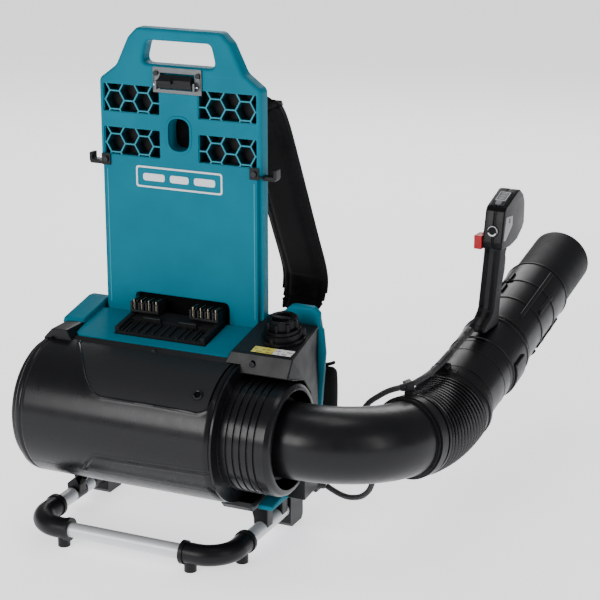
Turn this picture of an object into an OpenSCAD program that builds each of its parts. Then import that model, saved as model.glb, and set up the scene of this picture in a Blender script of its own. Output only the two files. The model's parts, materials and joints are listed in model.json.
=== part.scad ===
// Backpack leaf blower, battery type, standing on its tube frame.
// Millimetres, +Z up, +X to the outlet side, +Y towards the wearer's back.
// Origin: on the floor, midway between the side tubes, under the front tube's axis.

/* [Stand frame] */
// Distance between the axes of the two side tubes
stand_w = 258; // [250:1:262]
// Outside diameter of the frame tube
tube_d = 18; // [16:0.5:18]
// Height of the tube axis above the floor
stand_z = 22; // [20:1:23]

/* [Backplate] */
// Height of the carry handle above the floor
tower_top = 600; // [590:1:610]
// Width of the tower across its shoulders
tower_w = 213; // [208:1:216]
// Thickness of the tower from front face to rear edge
tower_t = 22; // [20:1:24]
// Distance across the corners of one honeycomb cell
cell_d = 25.5; // [22:0.5:28]

/* [Blower housing] */
// Outside radius of the blower drum
drum_r = 84; // [82:1:85]
// Height of the drum axis above the floor
drum_z = 152; // [150:1:154]
// Number of fan blades
blades = 9; // [7:1:11]

/* [Air pipe] */
// Outside radius of the elbow pipe
pipe_r = 44.5; // [44:0.1:44.7]
// Turn of the elbow
elbow_turn = 77; // [70:1:84]
// Bend of the flexible hose
hose_turn = 23; // [18:1:26]
// Number of hose ribs
ribs = 10; // [8:1:11]
// Length of the pipe from the hose to the nozzle's end
wand_len = 381; // [370:1:400]

/* [Hidden] */
$fn = 48;
wall = 2.5;          // general moulding wall
gap = 0.3;           // running clearance between moving mouldings
seat = 0.15;         // clearance between parts that are fastened together

// stand frame
tube_r = tube_d / 2;
stand_x = stand_w / 2;
stand_bend = 36;     // bend radius of the two front corners
stand_end = 186;     // y at which the side tubes end
cover_from = 75;     // |x| at which a corner cover starts on the front tube
cover_to = 58;       // y at which a corner cover ends on the side tube
cover_r = 12.6;      // outside radius of a corner cover
saddle_y = [104, 146];

// tower
face_y = 150;                     // front face of the tower
back_y = face_y + tower_t;        // rear edge of the tower and of the lower plate
tower_x = tower_w / 2;
lower_x = tower_x - 5.5;          // half width of the front face below the side hooks
tower_base = 246;
step_z = 437;                     // height of the step at the side hooks
shoulder_z = tower_top - 61;
handle_x = 56;                    // half width of the handle's flat top
slot_top_x = 42;
slot_low_x = 49;
slot_hi = tower_top - 14;
slot_lo = tower_top - 42;
skin = 3;                         // wall of the tower moulding
window_x = [25.5, 101];           // inner and outer edge of a honeycomb window
window_z = [[446, 480], [498, 532]];
cell_wall = 1.6;
oval_w = 28;
oval_h = 39;
oval_z = 477;
latch_x = 32;                     // half width of the latch plate
latch_z = [526, 556];
hook_z = 440;

// deck in front of the tower
deck_front_y = 75;
deck_front_z = 240;
deck_tilt = 10.2;
deck_t = 6;
deck_right = 103;
deck_left = -125.7;
seat_x = 60;                      // half width of the power pack's seat
seat_y = [92, 149.5];
cover_right = 182.5;              // right face of the outlet cover at its front
cover_taper = 4;                  // angle at which that face runs in towards the back

// drum
drum_y = 72;
drum_in = -142;                   // left end of the drum shells
drum_out = 116;                   // right end of the drum shells
drum_wall = 3.2;
split_z = drum_z - 52;            // joint between the upper and lower shells
intake_x = -151;
collar_x = [119, 183];           // grooved part of the collar
collar_r = 67;
collar_bore = 58;
groove_n = 5;                     // grooves round the collar

// fan
duct_r = 61.5;                    // bore of the fan duct
fan_x = [-92, -46];
hub_r = 33;
fan_gap = 1.2;
shaft_r = 4;
motor_x = [-40, 34];
nacelle_r = 37;

// outlet and elbow
elbow_x0 = 132;                   // where the elbow starts, inside the socket
elbow_x1 = 193.5;                 // where its bend starts
elbow_bend = 100;                 // bend radius of its centre line
elbow_tail = 10;                  // straight end of the elbow, inside the cuff
elbow_droop = 6;                  // rest angle of the outlet swivel below level
pipe_wall = 2.6;

// hose
cuff_back = 9.5;                   // overlap of the lower cuff on the elbow
cuff_out = 15;                    // lower cuff beyond the elbow's end
hose_r = 46.5;
rib_h = 3.2;
hose_bend_r = 195;                // bend radius of the hose's centre line
hose_roll = 157.5;                // direction of the hose's bend
upper_cuff = 27;

// swivel pipe, handle and nozzle: distances along the pipe from the hose's end
wand_r = 42.6;
ring_s = [97, 143];
handle_s = 112;
sleeve_s = [151, 291];
sleeve_r = 42.6;
inner_r = 39;                     // thinner end of the swivel pipe, inside the sleeve
wand_end = 262;
nozzle_r = 39.1;
nozzle_s0 = 270;

// control cable
cable_d = 7;
LOOP_PTS = [[174, 188, 50], [182, 188, 46], [192, 188, 42], [202, 188, 40], [212, 188, 41],
    [222, 188, 45], [231, 188, 55], [235, 188, 70], [232, 189, 90], [226, 190, 112],
    [220, 191, 132], [219, 191, 149], [227, 190, 164], [240, 190, 175], [252, 188, 183.5],
    [264, 184, 190], [274, 178, 195], [282, 173, 198]];
HOSE_PTS = [[287, 177, 201], [291, 186, 203], [294, 198, 204], [296, 210, 205], [297, 221, 206],
    [298, 232, 207], [299, 243, 209]];
WAND_PTS = [[302, 263, 215], [304, 273, 218], [307, 286, 223], [310, 299, 228], [312, 310, 232]];

// harness
strap_x = [46, 112];              // inner and outer edge of a shoulder strap
strap_t = 16;
STRAP_PTS = [[187, 519], [203, 509], [219, 489], [238, 456], [269, 398], [303, 334],
    [329, 286], [336, 262], [330, 240], [312, 226]];
WEB_PTS = [[311, 226], [290, 204], [262, 178], [236, 158], [214, 146], [204.2, 143.4]];

// ---------------------------------------------------------------- helpers

module block(lo, hi) translate(lo) cube(hi - lo);
module plate_y(y0, y1) translate([0, y1, 0]) rotate([90, 0, 0]) linear_extrude(y1 - y0) children();
module slab_x(x0, x1) translate([x0, 0, 0]) rotate([90, 0, 90]) linear_extrude(x1 - x0) children();
module rod_x(r, x0, x1) translate([x0, 0, 0]) rotate([0, 90, 0]) cylinder(r = r, h = x1 - x0);
module rod_y(r, y0, y1) translate([0, y0, 0]) rotate([-90, 0, 0]) cylinder(r = r, h = y1 - y0);
module tube_x(ro, ri, x0, x1) difference() {
    rod_x(ro, x0, x1);
    rod_x(ri, x0 - 1, x1 + 1);
}
module tube_y(ro, ri, y0, y1) difference() {
    rod_y(ro, y0, y1);
    rod_y(ri, y0 - 1, y1 + 1);
}
module both_sides() {
    children();
    mirror([1, 0, 0]) children();
}
module on_drum() translate([0, drum_y, drum_z]) children();
module rounded(w, h, r) hull() for (i = [-1, 1], j = [-1, 1])
    translate([i * (w / 2 - r), j * (h / 2 - r)]) circle(r, $fn = 24);

// rotation matrices and points, for placing the pipe's frames
function rot_x(a, v) = [v.x, v.y * cos(a) - v.z * sin(a), v.y * sin(a) + v.z * cos(a)];
function rot_y(a, v) = [v.x * cos(a) + v.z * sin(a), v.y, v.z * cos(a) - v.x * sin(a)];
function rot_z(a, v) = [v.x * cos(a) - v.y * sin(a), v.x * sin(a) + v.y * cos(a), v.z];
function from_elbow(v) = rot_x(-elbow_droop, rot_z(elbow_turn, rot_y(90, v)));
function from_hose(v) = from_elbow(rot_z(hose_roll, v));
elbow_start = [elbow_x1, drum_y, drum_z];
elbow_end = elbow_start + rot_x(-elbow_droop,
    [elbow_bend * sin(elbow_turn) + elbow_tail * cos(elbow_turn),
    elbow_bend * (1 - cos(elbow_turn)) + elbow_tail * sin(elbow_turn), 0]);
hose_start = elbow_end + from_elbow([0, 0, cuff_out]);
hose_end = hose_start + from_hose(hose_bend_r * [1 - cos(hose_turn), 0, sin(hose_turn)]);
wand_dir = from_hose([sin(hose_turn), 0, cos(hose_turn)]);
wand_yaw = atan2(wand_dir.x, wand_dir.y);
wand_pitch = asin(wand_dir.z);
hose_pivot = hose_start + from_elbow([0, 0, hose_bend_r * tan(hose_turn / 2)]);

module at_elbow_end() translate(elbow_end) rotate([-elbow_droop, 0, 0]) rotate([0, 0, elbow_turn])
    rotate([0, 90, 0]) children();
module at_hose_end() at_elbow_end() translate([0, 0, cuff_out]) rotate([0, 0, hose_roll])
    translate([hose_bend_r * (1 - cos(hose_turn)), 0, hose_bend_r * sin(hose_turn)])
    rotate([0, hose_turn, 0]) children();
// pipe frame: +Y along the pipe, +Z its upper side
module at_wand(s) translate(hose_end + s * wand_dir) rotate([0, 0, -wand_yaw])
    rotate([wand_pitch, 0, 0]) children();
// handle frame: on the pipe's axis, +Z straight up
module at_handle() translate(hose_end + handle_s * wand_dir) rotate([0, 0, -wand_yaw]) children();

// tube swept along a list of points, with flat ends
function unit(v) = v / norm(v);
function tangent(p, i) = unit(p[min(i + 1, len(p) - 1)] - p[max(i - 1, 0)]);
module swept_tube(points, d, sides = 10) {
    n = len(points);
    rings = [for (i = [0:n - 1]) let (t = tangent(points, i), u = unit(cross(t, [0, 1, 0.3])),
        w = cross(t, u)) for (k = [0:sides - 1])
        points[i] + d / 2 * (cos(360 * k / sides) * u + sin(360 * k / sides) * w)];
    sides_f = [for (i = [0:n - 2], k = [0:sides - 1]) let (m = (k + 1) % sides)
        [i * sides + k, i * sides + m, (i + 1) * sides + m, (i + 1) * sides + k]];
    polyhedron(rings, concat([[for (k = [sides - 1:-1:0]) k]], sides_f,
        [[for (k = [0:sides - 1]) (n - 1) * sides + k]]));
}

// band of even thickness about a line of points in the YZ plane, as one outline
function normal_2d(p, i) = let (t = unit(p[min(i + 1, len(p) - 1)] - p[max(i - 1, 0)])) [-t.y, t.x];
function band(p, t) = concat([for (i = [0:len(p) - 1]) p[i] + t / 2 * normal_2d(p, i)],
    [for (i = [len(p) - 1:-1:0]) p[i] - t / 2 * normal_2d(p, i)]);

// ---------------------------------------------------------------- stand

// solid U of the frame's path, used for the tube and for its covers' bores
module u_path(r, front_from, side_to) both_sides() {
    if (front_from < stand_x - stand_bend)
        translate([0, 0, stand_z]) rod_x(r, front_from, stand_x - stand_bend);
    translate([stand_x - stand_bend, stand_bend, stand_z]) rotate([0, 0, -90])
        rotate_extrude(angle = 90) translate([stand_bend, 0]) circle(r);
    translate([stand_x, 0, stand_z]) rod_y(r, stand_bend, side_to);
}

module stand_tube() color("silver") difference() {
    u_path(tube_r, 0, stand_end);
    u_path(tube_r - 1.6, 0, stand_end + 1);
}

module stand_corner_covers() color("#1b1c1e") difference() {
    union() {
        u_path(cover_r, cover_from, cover_to);
        both_sides() {
            translate([0, 0, stand_z]) rod_x(cover_r + 1.6, cover_from, cover_from + 5);
            translate([stand_x, 0, stand_z]) rod_y(cover_r + 1.6, cover_to - 5, cover_to);
            translate([cover_from + 10, 0, 0]) cylinder(r = 7.5, h = stand_z);
            translate([stand_x, stand_bend + 10, 0]) cylinder(r = 7.5, h = stand_z);
        }
    }
    u_path(tube_r + seat, -1, cover_to + 1);
}

// clips that hold the side tubes under the housing
module stand_saddles() color("#1b1c1e") both_sides() for (y = saddle_y) difference() {
    slab_y_clip(y);
    translate([stand_x, 0, stand_z]) rod_y(tube_r + seat, y - 20, y + 20);
}
module slab_y_clip(y) plate_y(y - 8, y + 8)
    polygon([[stand_x - 12, 18], [stand_x + 12, 18], [stand_x + 12, 34], [stand_x + 6, 59.7],
        [stand_x - 18, 59.7], [stand_x - 13, 34]]);

// feet that close the rear ends of the side tubes
module rear_feet() color("#1b1c1e") both_sides() difference() {
    slab_x(stand_x - 13, stand_x + 11)
        polygon([[162, 0], [190, 0], [194, 5], [194, 58], [188, 66], [176.3, 66], [176.3, 54],
            [158, 44], [158, 5]]);
    translate([stand_x, 0, stand_z]) rod_y(tube_r + seat, 150, stand_end + 0.2);
}

// ---------------------------------------------------------------- backplate

tower_half = [[tower_x, tower_base], [tower_x, shoulder_z - 5], [tower_x - 5, shoulder_z + 1],
    [tower_x - 23, shoulder_z + 15], [handle_x + 11, tower_top - 14], [handle_x, tower_top - 2], [handle_x - 10, tower_top]];
wing_right = [[138, 62], [144, 60], [158, 90], [176.5, 160], [181.5, 228], [178, 260], [175, 277],
    [167, 284], [140, 284], [128, 274], [108, 266]];
wing_left = [[-108, 262], [-137, 262], [-168, 224], [-174, 160], [-158, 90], [-144, 60], [-138, 62]];
function flipped(p) = [for (i = [len(p) - 1:-1:0]) [-p[i].x, p[i].y]];
module tower_outline() polygon(concat(tower_half, flipped(tower_half)));
module wing_outline() polygon(concat(wing_right, wing_left));
module handle_slot(grow = 0) polygon([[slot_low_x + grow, slot_lo - grow],
    [slot_top_x + grow, slot_hi + grow], [-slot_top_x - grow, slot_hi + grow],
    [-slot_low_x - grow, slot_lo - grow]]);
module oval(grow = 0) translate([0, oval_z]) for (k = [-1, 0, 1]) if (k == 0)
    square([oval_w + 2 * grow, oval_h - oval_w], center = true);
else translate([0, k * (oval_h - oval_w) / 2]) circle(oval_w / 2 + grow);
module windows(grow = 0) for (m = [-1, 1], z = window_z)
    translate([m > 0 ? window_x[0] - grow : -window_x[1] - grow, z[0] - grow])
        square([window_x[1] - window_x[0] + 2 * grow, z[1] - z[0] + 2 * grow]);

// honeycomb lattice of thin walls, cut to the four windows
col_step = 0.75 * cell_d;
row_step = cell_d * sqrt(3) / 2;
module honeycomb() difference() {
    windows();
    for (m = [-1, 1], z = window_z, i = [0:5], j = [-1:2])
        translate([m * (window_x[0] + 9 + (i - 0.3) * col_step),
            z[0] + 3 + (j + (i % 2 == 0 ? 0 : 0.5)) * row_step])
            circle(d = cell_d - 2 * cell_wall / sqrt(3), $fn = 6);
}

module backplate() color("#0b8399") difference() {
    union() {
        // front wall with its openings
        plate_y(face_y, face_y + skin) difference() {
            tower_outline();
            handle_slot();
            windows();
            oval();
        }
        // rim of the tower, open towards the wearer
        plate_y(face_y + skin, back_y) difference() {
            tower_outline();
            offset(delta = -skin) tower_outline();
        }
        // carry handle bar and the walls round its slot
        plate_y(face_y + skin, back_y) difference() {
            handle_slot(skin);
            handle_slot();
        }
        // cell walls and the frames of the windows
        plate_y(face_y + 0.6, face_y + 19) honeycomb();
        plate_y(face_y + skin, face_y + 19) difference() {
            windows(2);
            windows();
        }
        plate_y(face_y + skin, face_y + 19) difference() {
            oval(2.4);
            oval();
        }
        // inner wall behind the step of the front face
        both_sides() block([lower_x - skin, face_y + 1, tower_base], [tower_x, face_y + 9, step_z + 6]);
        // lower plate with its side wings
        plate_y(back_y - 12, back_y) wing_outline();
        // left shoulder that runs down to the deck
        slab_x(-137, -126) polygon([[98, 246], [back_y - 10, 262], [back_y - 10, 246],
            [face_y + 1, 246], [112, 242]]);
    }
    // step of the front face below the side hooks
    both_sides() plate_y(face_y - 1, face_y + skin + 3) polygon([[lower_x, tower_base - 1],
        [tower_x + 1, tower_base - 1], [tower_x + 1, step_z + 3], [lower_x, step_z - 3]]);
    // hollow of the lower plate behind the blower
    plate_y(back_y - 9, back_y + 1) offset(delta = -skin) difference() {
        wing_outline();
        translate([-200, tower_base - 3]) square([400, 100]);
    }
    // recess for the power pack's terminals and slot for the latch
    plate_y(face_y - 1, face_y + 12) translate([0, 262]) rounded(128, 34, 8);
    plate_y(face_y - 1, face_y + skin + 1) translate([-23, latch_z[0] + 8]) square([46, 16]);
    // holes for the side hook screws
    both_sides() translate([tower_x - 8, 0, hook_z]) rod_y(2.2, face_y - 1, back_y + 1);
}

module rear_cover() color("#202225") difference() {
    plate_y(back_y + seat, back_y + 4) union() {
        difference() {
            offset(delta = -4) tower_outline();
            translate([-200, tower_top - 52]) square([400, 80]);
        }
        offset(delta = -4) wing_outline();
    }
    both_sides() for (z = [120, 330, 500]) translate([70, 0, z]) rod_y(2.5, back_y - 1, back_y + 5);
    plate_y(back_y - 1, back_y + 5) oval(-4);
}

// ---------------------------------------------------------------- deck and power pack seat

module on_deck() translate([0, deck_front_y, deck_front_z]) rotate([deck_tilt, 0, 0]) children();
deck_run = (face_y - deck_front_y) / cos(deck_tilt) - 1.4;

module deck_outline(grow) polygon([[-100 - grow, -grow], [deck_right + grow, -grow],
    [deck_right + grow, deck_run], [deck_left - grow, deck_run], [deck_left - grow, 22 - grow]]);
module deck() color("#0b8399") difference() {
    on_deck() translate([0, 0, -deck_t]) linear_extrude(deck_t) deck_outline(0);
    on_deck() translate([-seat_x - 1, seat_y[0] - deck_front_y - 1, -2.4])
        cube([2 * seat_x + 2, 70, 3]);
}

module pack_seat() color("#151619") on_deck() difference() {
    translate([0, 0, -2.2]) union() {
        translate([-seat_x, seat_y[0] - deck_front_y, 0]) cube([2 * seat_x, 55, 5]);
        for (i = [-2:2]) translate([i * 23 - 1.5, seat_y[0] - deck_front_y, 4.9]) cube([3, 26, 1.8]);
        translate([-seat_x, seat_y[0] - deck_front_y + 30, 4.9]) cube([2 * seat_x, 25, 3]);
    }
    for (i = [-1, 1]) translate([i * 48, 40, -3]) cylinder(r = 2.2, h = 20);
}

terminal_y = [128, 148.5];
terminal_z = [259.6, 272];
module terminal_blocks() color("#151619") for (m = [-1, 1]) difference() {
    translate([m * 40, 0, 0]) block([-19, terminal_y[0], terminal_z[0]],
        [19, terminal_y[1], terminal_z[1]]);
    for (i = [-3:3]) translate([m * 40 + i * 5, 0, 0])
        block([-1.1, terminal_y[0] - 1, terminal_z[0] + 3], [1.1, terminal_y[1] - 4, terminal_z[1] + 1]);
}
module terminal_blades() color("#b08d3c") for (m = [-1, 1], i = [-3, -1, 1, 3])
    translate([m * 40 + i * 5, 0, 0]) block([-0.5, terminal_y[0] + 2, terminal_z[0] + 3.2],
        [0.5, terminal_y[1] - 4.2, terminal_z[1] + 3]);

// ---------------------------------------------------------------- pack latch

latch_pivot = [0, face_y - 5, latch_z[0] + 10];
module latch_plate() color("#8d9297") difference() {
    union() {
        plate_y(face_y - 2.2, face_y - seat) translate([0, (latch_z[0] + latch_z[1]) / 2])
            square([2 * latch_x, latch_z[1] - latch_z[0]], center = true);
        for (m = [-1, 1]) translate([m * 25 - 1.2, 0, 0])
            block([0, face_y - 9, latch_z[0] + 5], [2.4, face_y - 2, latch_z[0] + 15]);
    }
    plate_y(face_y - 3, face_y + 1) translate([-22.6, latch_z[0] + 4.4]) square([45.2, 19.2]);
    for (m = [-1, 1]) translate([m * 27.5, 0, latch_z[1] - 7]) rod_y(2, face_y - 4, face_y + 1);
    translate(latch_pivot) rod_x(1.55, -40, 40);
}
module latch_pin() color("#b9bcc0") translate(latch_pivot) rod_x(1.5, -29, 29);
module latch_lever() color("#1b1c1e") difference() {
    union() {
        translate(latch_pivot) rod_x(4, -22, 22);
        slab_x(-21, 21) polygon([[face_y - 9, latch_z[0] + 10], [face_y - 9, latch_z[0] + 17],
            [face_y - 5, latch_z[0] + 22], [face_y - 2.6, latch_z[0] + 22],
            [face_y - 2.6, latch_z[0] + 12]]);
        slab_x(-21, -3) polygon([[face_y - 13, latch_z[0] + 13], [face_y - 13, latch_z[0] + 16],
            [face_y - 6, latch_z[0] + 20], [face_y - 6, latch_z[0] + 12]]);
    }
    translate(latch_pivot) rod_x(1.6, -40, 40);
}

module side_hooks() color("#1b1c1e") both_sides() difference() {
    union() {
        block([tower_x - 14, face_y - 2, hook_z - 7], [tower_x - 2, face_y - seat, hook_z + 7]);
        block([tower_x - 2, face_y - 2, hook_z - 5], [tower_x + 3, face_y + 4, hook_z - 3]);
        plate_y(face_y + 3, face_y + 15) polygon([[tower_x + 0.4, hook_z - 8],
            [tower_x + 16, hook_z - 8], [tower_x + 18, hook_z - 5], [tower_x + 18, hook_z + 5],
            [tower_x + 14, hook_z + 5], [tower_x + 14, hook_z - 3], [tower_x + 0.4, hook_z - 3]]);
    }
    translate([tower_x - 8, 0, hook_z]) rod_y(2.2, face_y - 4, face_y + 1);
}

module screw(l = 8) {
    cylinder(r = 3.4, h = 2.2);
    translate([0, 0, -l]) cylinder(r = 1.7, h = l + 0.5);
}
module cover_screws() color("#303236") {
    both_sides() translate([tower_x - 8, face_y - 2 - seat, hook_z]) rotate([90, 0, 0]) screw(7);
    for (x = [-124, 6]) translate([x, cap_face_y + 2.3, 235]) rotate([90, 0, 0]) screw(6);
    translate([133.5, cap_face_y + 2.3, 238]) rotate([90, 0, 0]) screw(6);
    for (m = [-1, 1]) translate([m * 27.5, face_y - 2.2 - seat, latch_z[1] - 7]) rotate([90, 0, 0])
        linear_extrude(2) circle(3);
}

// ---------------------------------------------------------------- blower housing

cap_face_y = 66;                  // front face of the strip below the deck
module drum_shell() on_drum() tube_x(drum_r, drum_r - drum_wall, drum_in, drum_out);
module below(z) block([-400, -400, -100], [400, 400, z]);
module above(z) block([-400, -400, z], [400, 400, 800]);

module screw_hole() {
    rod_y(1.9, cap_face_y - 4, cap_face_y + 12);
    rod_y(3.8, cap_face_y - 4, cap_face_y + 2.5);
}

// upper half of the drum with the bridge that carries the deck
module drum_upper_cover() color("#1a1b1d") difference() {
    union() {
        drum_shell();
        difference() {
            slab_x(-104, deck_right - 0.5) polygon([[cap_face_y, 226], [cap_face_y, 234],
                [cap_face_y + 8.5, 239.4], [cap_face_y + 9.5, 232], [149, 246], [149, 160],
                [130, 190], [80, 225]]);
            slab_x(-100, deck_right - 4) polygon([[cap_face_y + 6, 226], [cap_face_y + 9, 229],
                [146, 242], [146, 176], [120, 212], [76, 229]]);
        }
        // left corner tab
        slab_x(-138, -104.2) polygon([[cap_face_y, 222], [cap_face_y, 240], [cap_face_y + 5, 249],
            [cap_face_y + 16, 249], [112, 240], [112, 205], [90, 222]]);
    }
    on_drum() rod_x(drum_r - drum_wall, drum_in - 20, drum_out + 20);
    below(split_z + seat);
    for (x = [-124, 6]) translate([x, 0, 235]) screw_hole();
    // seat of the deck
    on_deck() translate([0, 0, -deck_t - seat]) linear_extrude(40) deck_outline(0.2);
}

// lower half of the drum with the keel that the saddles screw to
module drum_lower_cover() color("#1a1b1d") difference() {
    union() {
        drum_shell();
        slab_x(-143, 99) polygon([[84, 60], [158, 60], [158, split_z], [130, split_z + 20],
            [84, 90]]);
        slab_x(98, 160) polygon([[76, 62], [84, 60], [111.6, 60], [111.6, 96], [76, 96]]);
    }
    on_drum() rod_x(drum_r - 0.6, drum_out, collar_x[0] + 0.3);
    on_drum() rod_x(collar_r + 0.4, drum_out, 200);
    on_drum() rod_x(drum_r - drum_wall, drum_in - 20, drum_out + 20);
    slab_x(-139, 95) difference() {
        polygon([[88, 63], [155, 63], [155, split_z + 40], [88, split_z + 40]]);
        translate([drum_y, drum_z]) circle(drum_r + 0.01);
    }
    above(split_z - seat);
}

module intake_ring() color("#1a1b1d") on_drum() rotate([0, 90, 0]) rotate_extrude($fn = 96)
    polygon([[66, intake_x], [72, intake_x], [76, intake_x + 3], [78, drum_in - seat],
        [62.5, drum_in - seat], [62.5, intake_x + 4]]);

// round guard of rings and spokes over the air intake
module intake_grille() color("#151619") on_drum() {
    for (r = [14, 26, 38, 50]) tube_x(r + 1, r - 1, intake_x + 1, intake_x + 4);
    tube_x(62.3, 59, intake_x + 1, intake_x + 6);
    rod_x(6, intake_x + 1, intake_x + 4);
    for (a = [0:30:330]) rotate([a, 0, 0])
        block([intake_x + 1.5, -0.9, 5], [intake_x + 4.5, 0.9, 60]);
}

// inner duct, its guide vanes and the motor's nacelle
module fan_duct() color("#26282c") on_drum() {
    rotate([0, 90, 0]) rotate_extrude($fn = 96) polygon([[72, drum_in + 0.5], [77, drum_in + 0.5],
        [77, drum_in + 3], [66, drum_in + 22], [duct_r + wall, drum_in + 40], [duct_r + wall, 40],
        [52.4, 99], [49.6, 99], [duct_r, 38], [duct_r, drum_in + 40], [63.6, drum_in + 22]]);
    tube_x(nacelle_r, nacelle_r - 2, motor_x[0] + 2, motor_x[1] + 6);
    difference() {
        rod_x(nacelle_r - 1.5, motor_x[0] + 2, motor_x[0] + 4.5);
        rod_x(10, motor_x[0], motor_x[0] + 8);
    }
    for (i = [0:6]) rotate([i * 360 / 7, 0, 0])
        block([motor_x[0] + 8, -1.2, nacelle_r - 1], [motor_x[1], 1.2, duct_r + 1]);
    rotate([0, 90, 0]) rotate_extrude() polygon([[0, motor_x[1] + 4.2],
        [nacelle_r - 1, motor_x[1] + 4.2], [nacelle_r, motor_x[1] + 6], [22, motor_x[1] + 34], [0, motor_x[1] + 40]]);
}

bearing_x = [motor_x[0] - 1, motor_x[1] - 8];
module motor_stator() color("#7a5a3a") on_drum() {
    tube_x(nacelle_r - 2.2, 26, motor_x[0] + 14, motor_x[1] - 12);
    for (i = [0:11]) rotate([i * 30, 0, 0])
        block([motor_x[0] + 10, -3, 22.5], [motor_x[1] - 14, 3, 30]);
    difference() {
        rod_x(nacelle_r - 2.4, motor_x[1] - 8, motor_x[1] - 5);
        rod_x(10.2, motor_x[1] - 10, motor_x[1]);
    }
}
module motor_bearings() color("#b9bcc0") on_drum() for (x = [motor_x[0] + 2, motor_x[1] - 8])
    tube_x(9.8, shaft_r + 0.05, x, x + 6);
module motor_rotor() color("#4b4e52") on_drum() tube_x(21.6, shaft_r, motor_x[0] + 12, motor_x[1] - 14);
module fan_shaft() color("#c4c7ca") on_drum() rod_x(shaft_r, fan_x[0] - 6, motor_x[1] - 2);

// axial fan: hub, twisted blades and a rounded nose
module fan_impeller() color("#2e3136") on_drum() difference() {
    union() {
        tube_x(hub_r, hub_r - 3, fan_x[0] + 4, fan_x[1]);
        tube_x(hub_r - 1, shaft_r + 4, fan_x[0] + 16, fan_x[0] + 20);
        tube_x(shaft_r + 6, shaft_r, fan_x[0] + 2, fan_x[1] - 6);
        rotate([0, 90, 0]) rotate_extrude() polygon([[0, fan_x[0] - 16], [12, fan_x[0] - 14],
            [24, fan_x[0] - 7], [hub_r, fan_x[0] + 4], [hub_r, fan_x[0] + 7],
            [hub_r - 3, fan_x[0] + 7], [0, fan_x[0] - 12]]);
        for (i = [0:blades - 1]) rotate([i * 360 / blades, 0, 0])
            translate([(fan_x[0] + fan_x[1]) / 2, 0, 0]) rotate([0, 0, 38])
            block([-17, -1.3, hub_r - 2], [17, 1.3, duct_r - fan_gap - 1.6]);
    }
    rod_x(shaft_r, fan_x[0] - 6.2, fan_x[1] + 1);
}

module controller_box() color("#8b9095") difference() {
    block([-62, face_y + skin + 0.6, 292], [62, back_y - 0.4, 392]);
    for (i = [-6:6]) translate([i * 9, 0, 0])
        block([-2.2, back_y - 8, 291], [2.2, back_y + 1, 393]);
}

// black cover over the outlet side, with the connector on top
module outlet_cover() color("#1a1b1d") difference() {
    slab_x(deck_right + 0.4, cover_right) polygon([[cap_face_y - 2, 222], [cap_face_y - 2, 243],
        cover_front, cover_back, [159, 60], [112, 60], [112, 84], [132, 120],
        [138, 160], [132, 190], [110, 212]]);
    slab_x(deck_right + 3.4, cover_right - 10) polygon([[cap_face_y + 1, 225],
        [cap_face_y + 1, 242], cover_front + [1, -3], cover_back + [-3, -3.6], [156, 63],
        [115, 63], [138, 112], [144, 160], [137, 196], [112, 218]]);
    on_drum() rod_x(collar_r + 0.4, 90, 200);
    on_drum() rod_x(drum_r + 0.4, 90, collar_x[0] + 0.3);
    block([100, face_y - seat, 240], [tower_x + seat, 170, 300]);
    translate([133.5, 0, 238]) screw_hole();
    at_cap() translate([0, 0, -14]) cylinder(r = 12, h = 22);
    translate([cover_right, cap_face_y, 0]) rotate([0, 0, cover_taper])
        block([0, -20, 40], [30, 130, 320]);
}
cover_front = [cap_face_y + 6, 249];
cover_back = [159, 249 + (159 - cover_front.x) * tan(deck_tilt)];
cap_y = 118;
module at_cap() translate([150, cap_y, cover_front.y + (cap_y - cover_front.x) * tan(deck_tilt)])
    rotate([deck_tilt, 0, 0]) children();
module connector_base() color("#1a1b1d") at_cap() difference() {
    union() {
        translate([0, 0, seat]) cylinder(r = 26, h = 4);
        translate([0, 0, 1]) cylinder(r = 23, h = 10);
        translate([0, 0, -10]) cylinder(r = 11.6, h = 12);
        for (a = [20, 140, 260]) rotate([0, 0, a]) translate([22, 0, 4]) cylinder(r = 4.2, h = 7);
    }
    translate([0, 0, 1.5]) cylinder(r = 15, h = 20);
}
module connector_cap() color("#222428") at_cap() {
    difference() {
        union() {
            translate([0, 0, 11.4]) cylinder(r = 21, h = 4);
            translate([0, 0, 11.4]) cylinder(r = 17, h = 15);
            for (a = [0:45:315]) rotate([0, 0, a]) translate([17, 0, 15]) cylinder(r = 2.6, h = 10);
        }
        translate([0, 0, 22]) cylinder(r = 12, h = 10);
    }
    translate([0, 0, 2]) cylinder(r = 14.6, h = 9.6);
    translate([-11.9, -3, 21]) cube([23.8, 6, 6]);
}

// ---------------------------------------------------------------- outlet

module outlet_collar() color("#1a1b1d") on_drum() difference() {
    union() {
        rod_x(collar_r, socket_x[0] + 3, collar_x[1] - 7);
        rod_x(drum_r - 1, drum_out + seat, collar_x[0]);
        rotate([0, 90, 0]) rotate_extrude($fn = 96) polygon([[0, collar_x[1] - 8],
            [collar_r, collar_x[1] - 8], [collar_r - 2, collar_x[1] - 2],
            [collar_r - 5, collar_x[1]], [0, collar_x[1]]]);
    }
    rod_x(collar_bore, socket_x[0] + 7, collar_x[1] + 1);
    rod_x(52.6, socket_x[0] + 1, collar_x[1]);
    for (i = [0:groove_n - 1]) translate([collar_x[0] + 9.5 + i * 8.6, 0, 0])
        tube_x(collar_r + 2, collar_r - 2.2, 0, 2.4);
}
socket_x = [99.2, 170];
module outlet_socket() color("#26282c") on_drum() difference() {
    union() {
        rod_x(48.6, socket_x[0] + 4, socket_x[1]);
        rod_x(52.4, socket_x[0], socket_x[0] + 6);
    }
    rod_x(41, socket_x[0] - 1, elbow_x0);
    rod_x(pipe_r + gap, elbow_x0 - 3, socket_x[1] + 1);
    tube_x(47, pipe_r, socket_x[1] - 12, socket_x[1] - 8);
}
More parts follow.
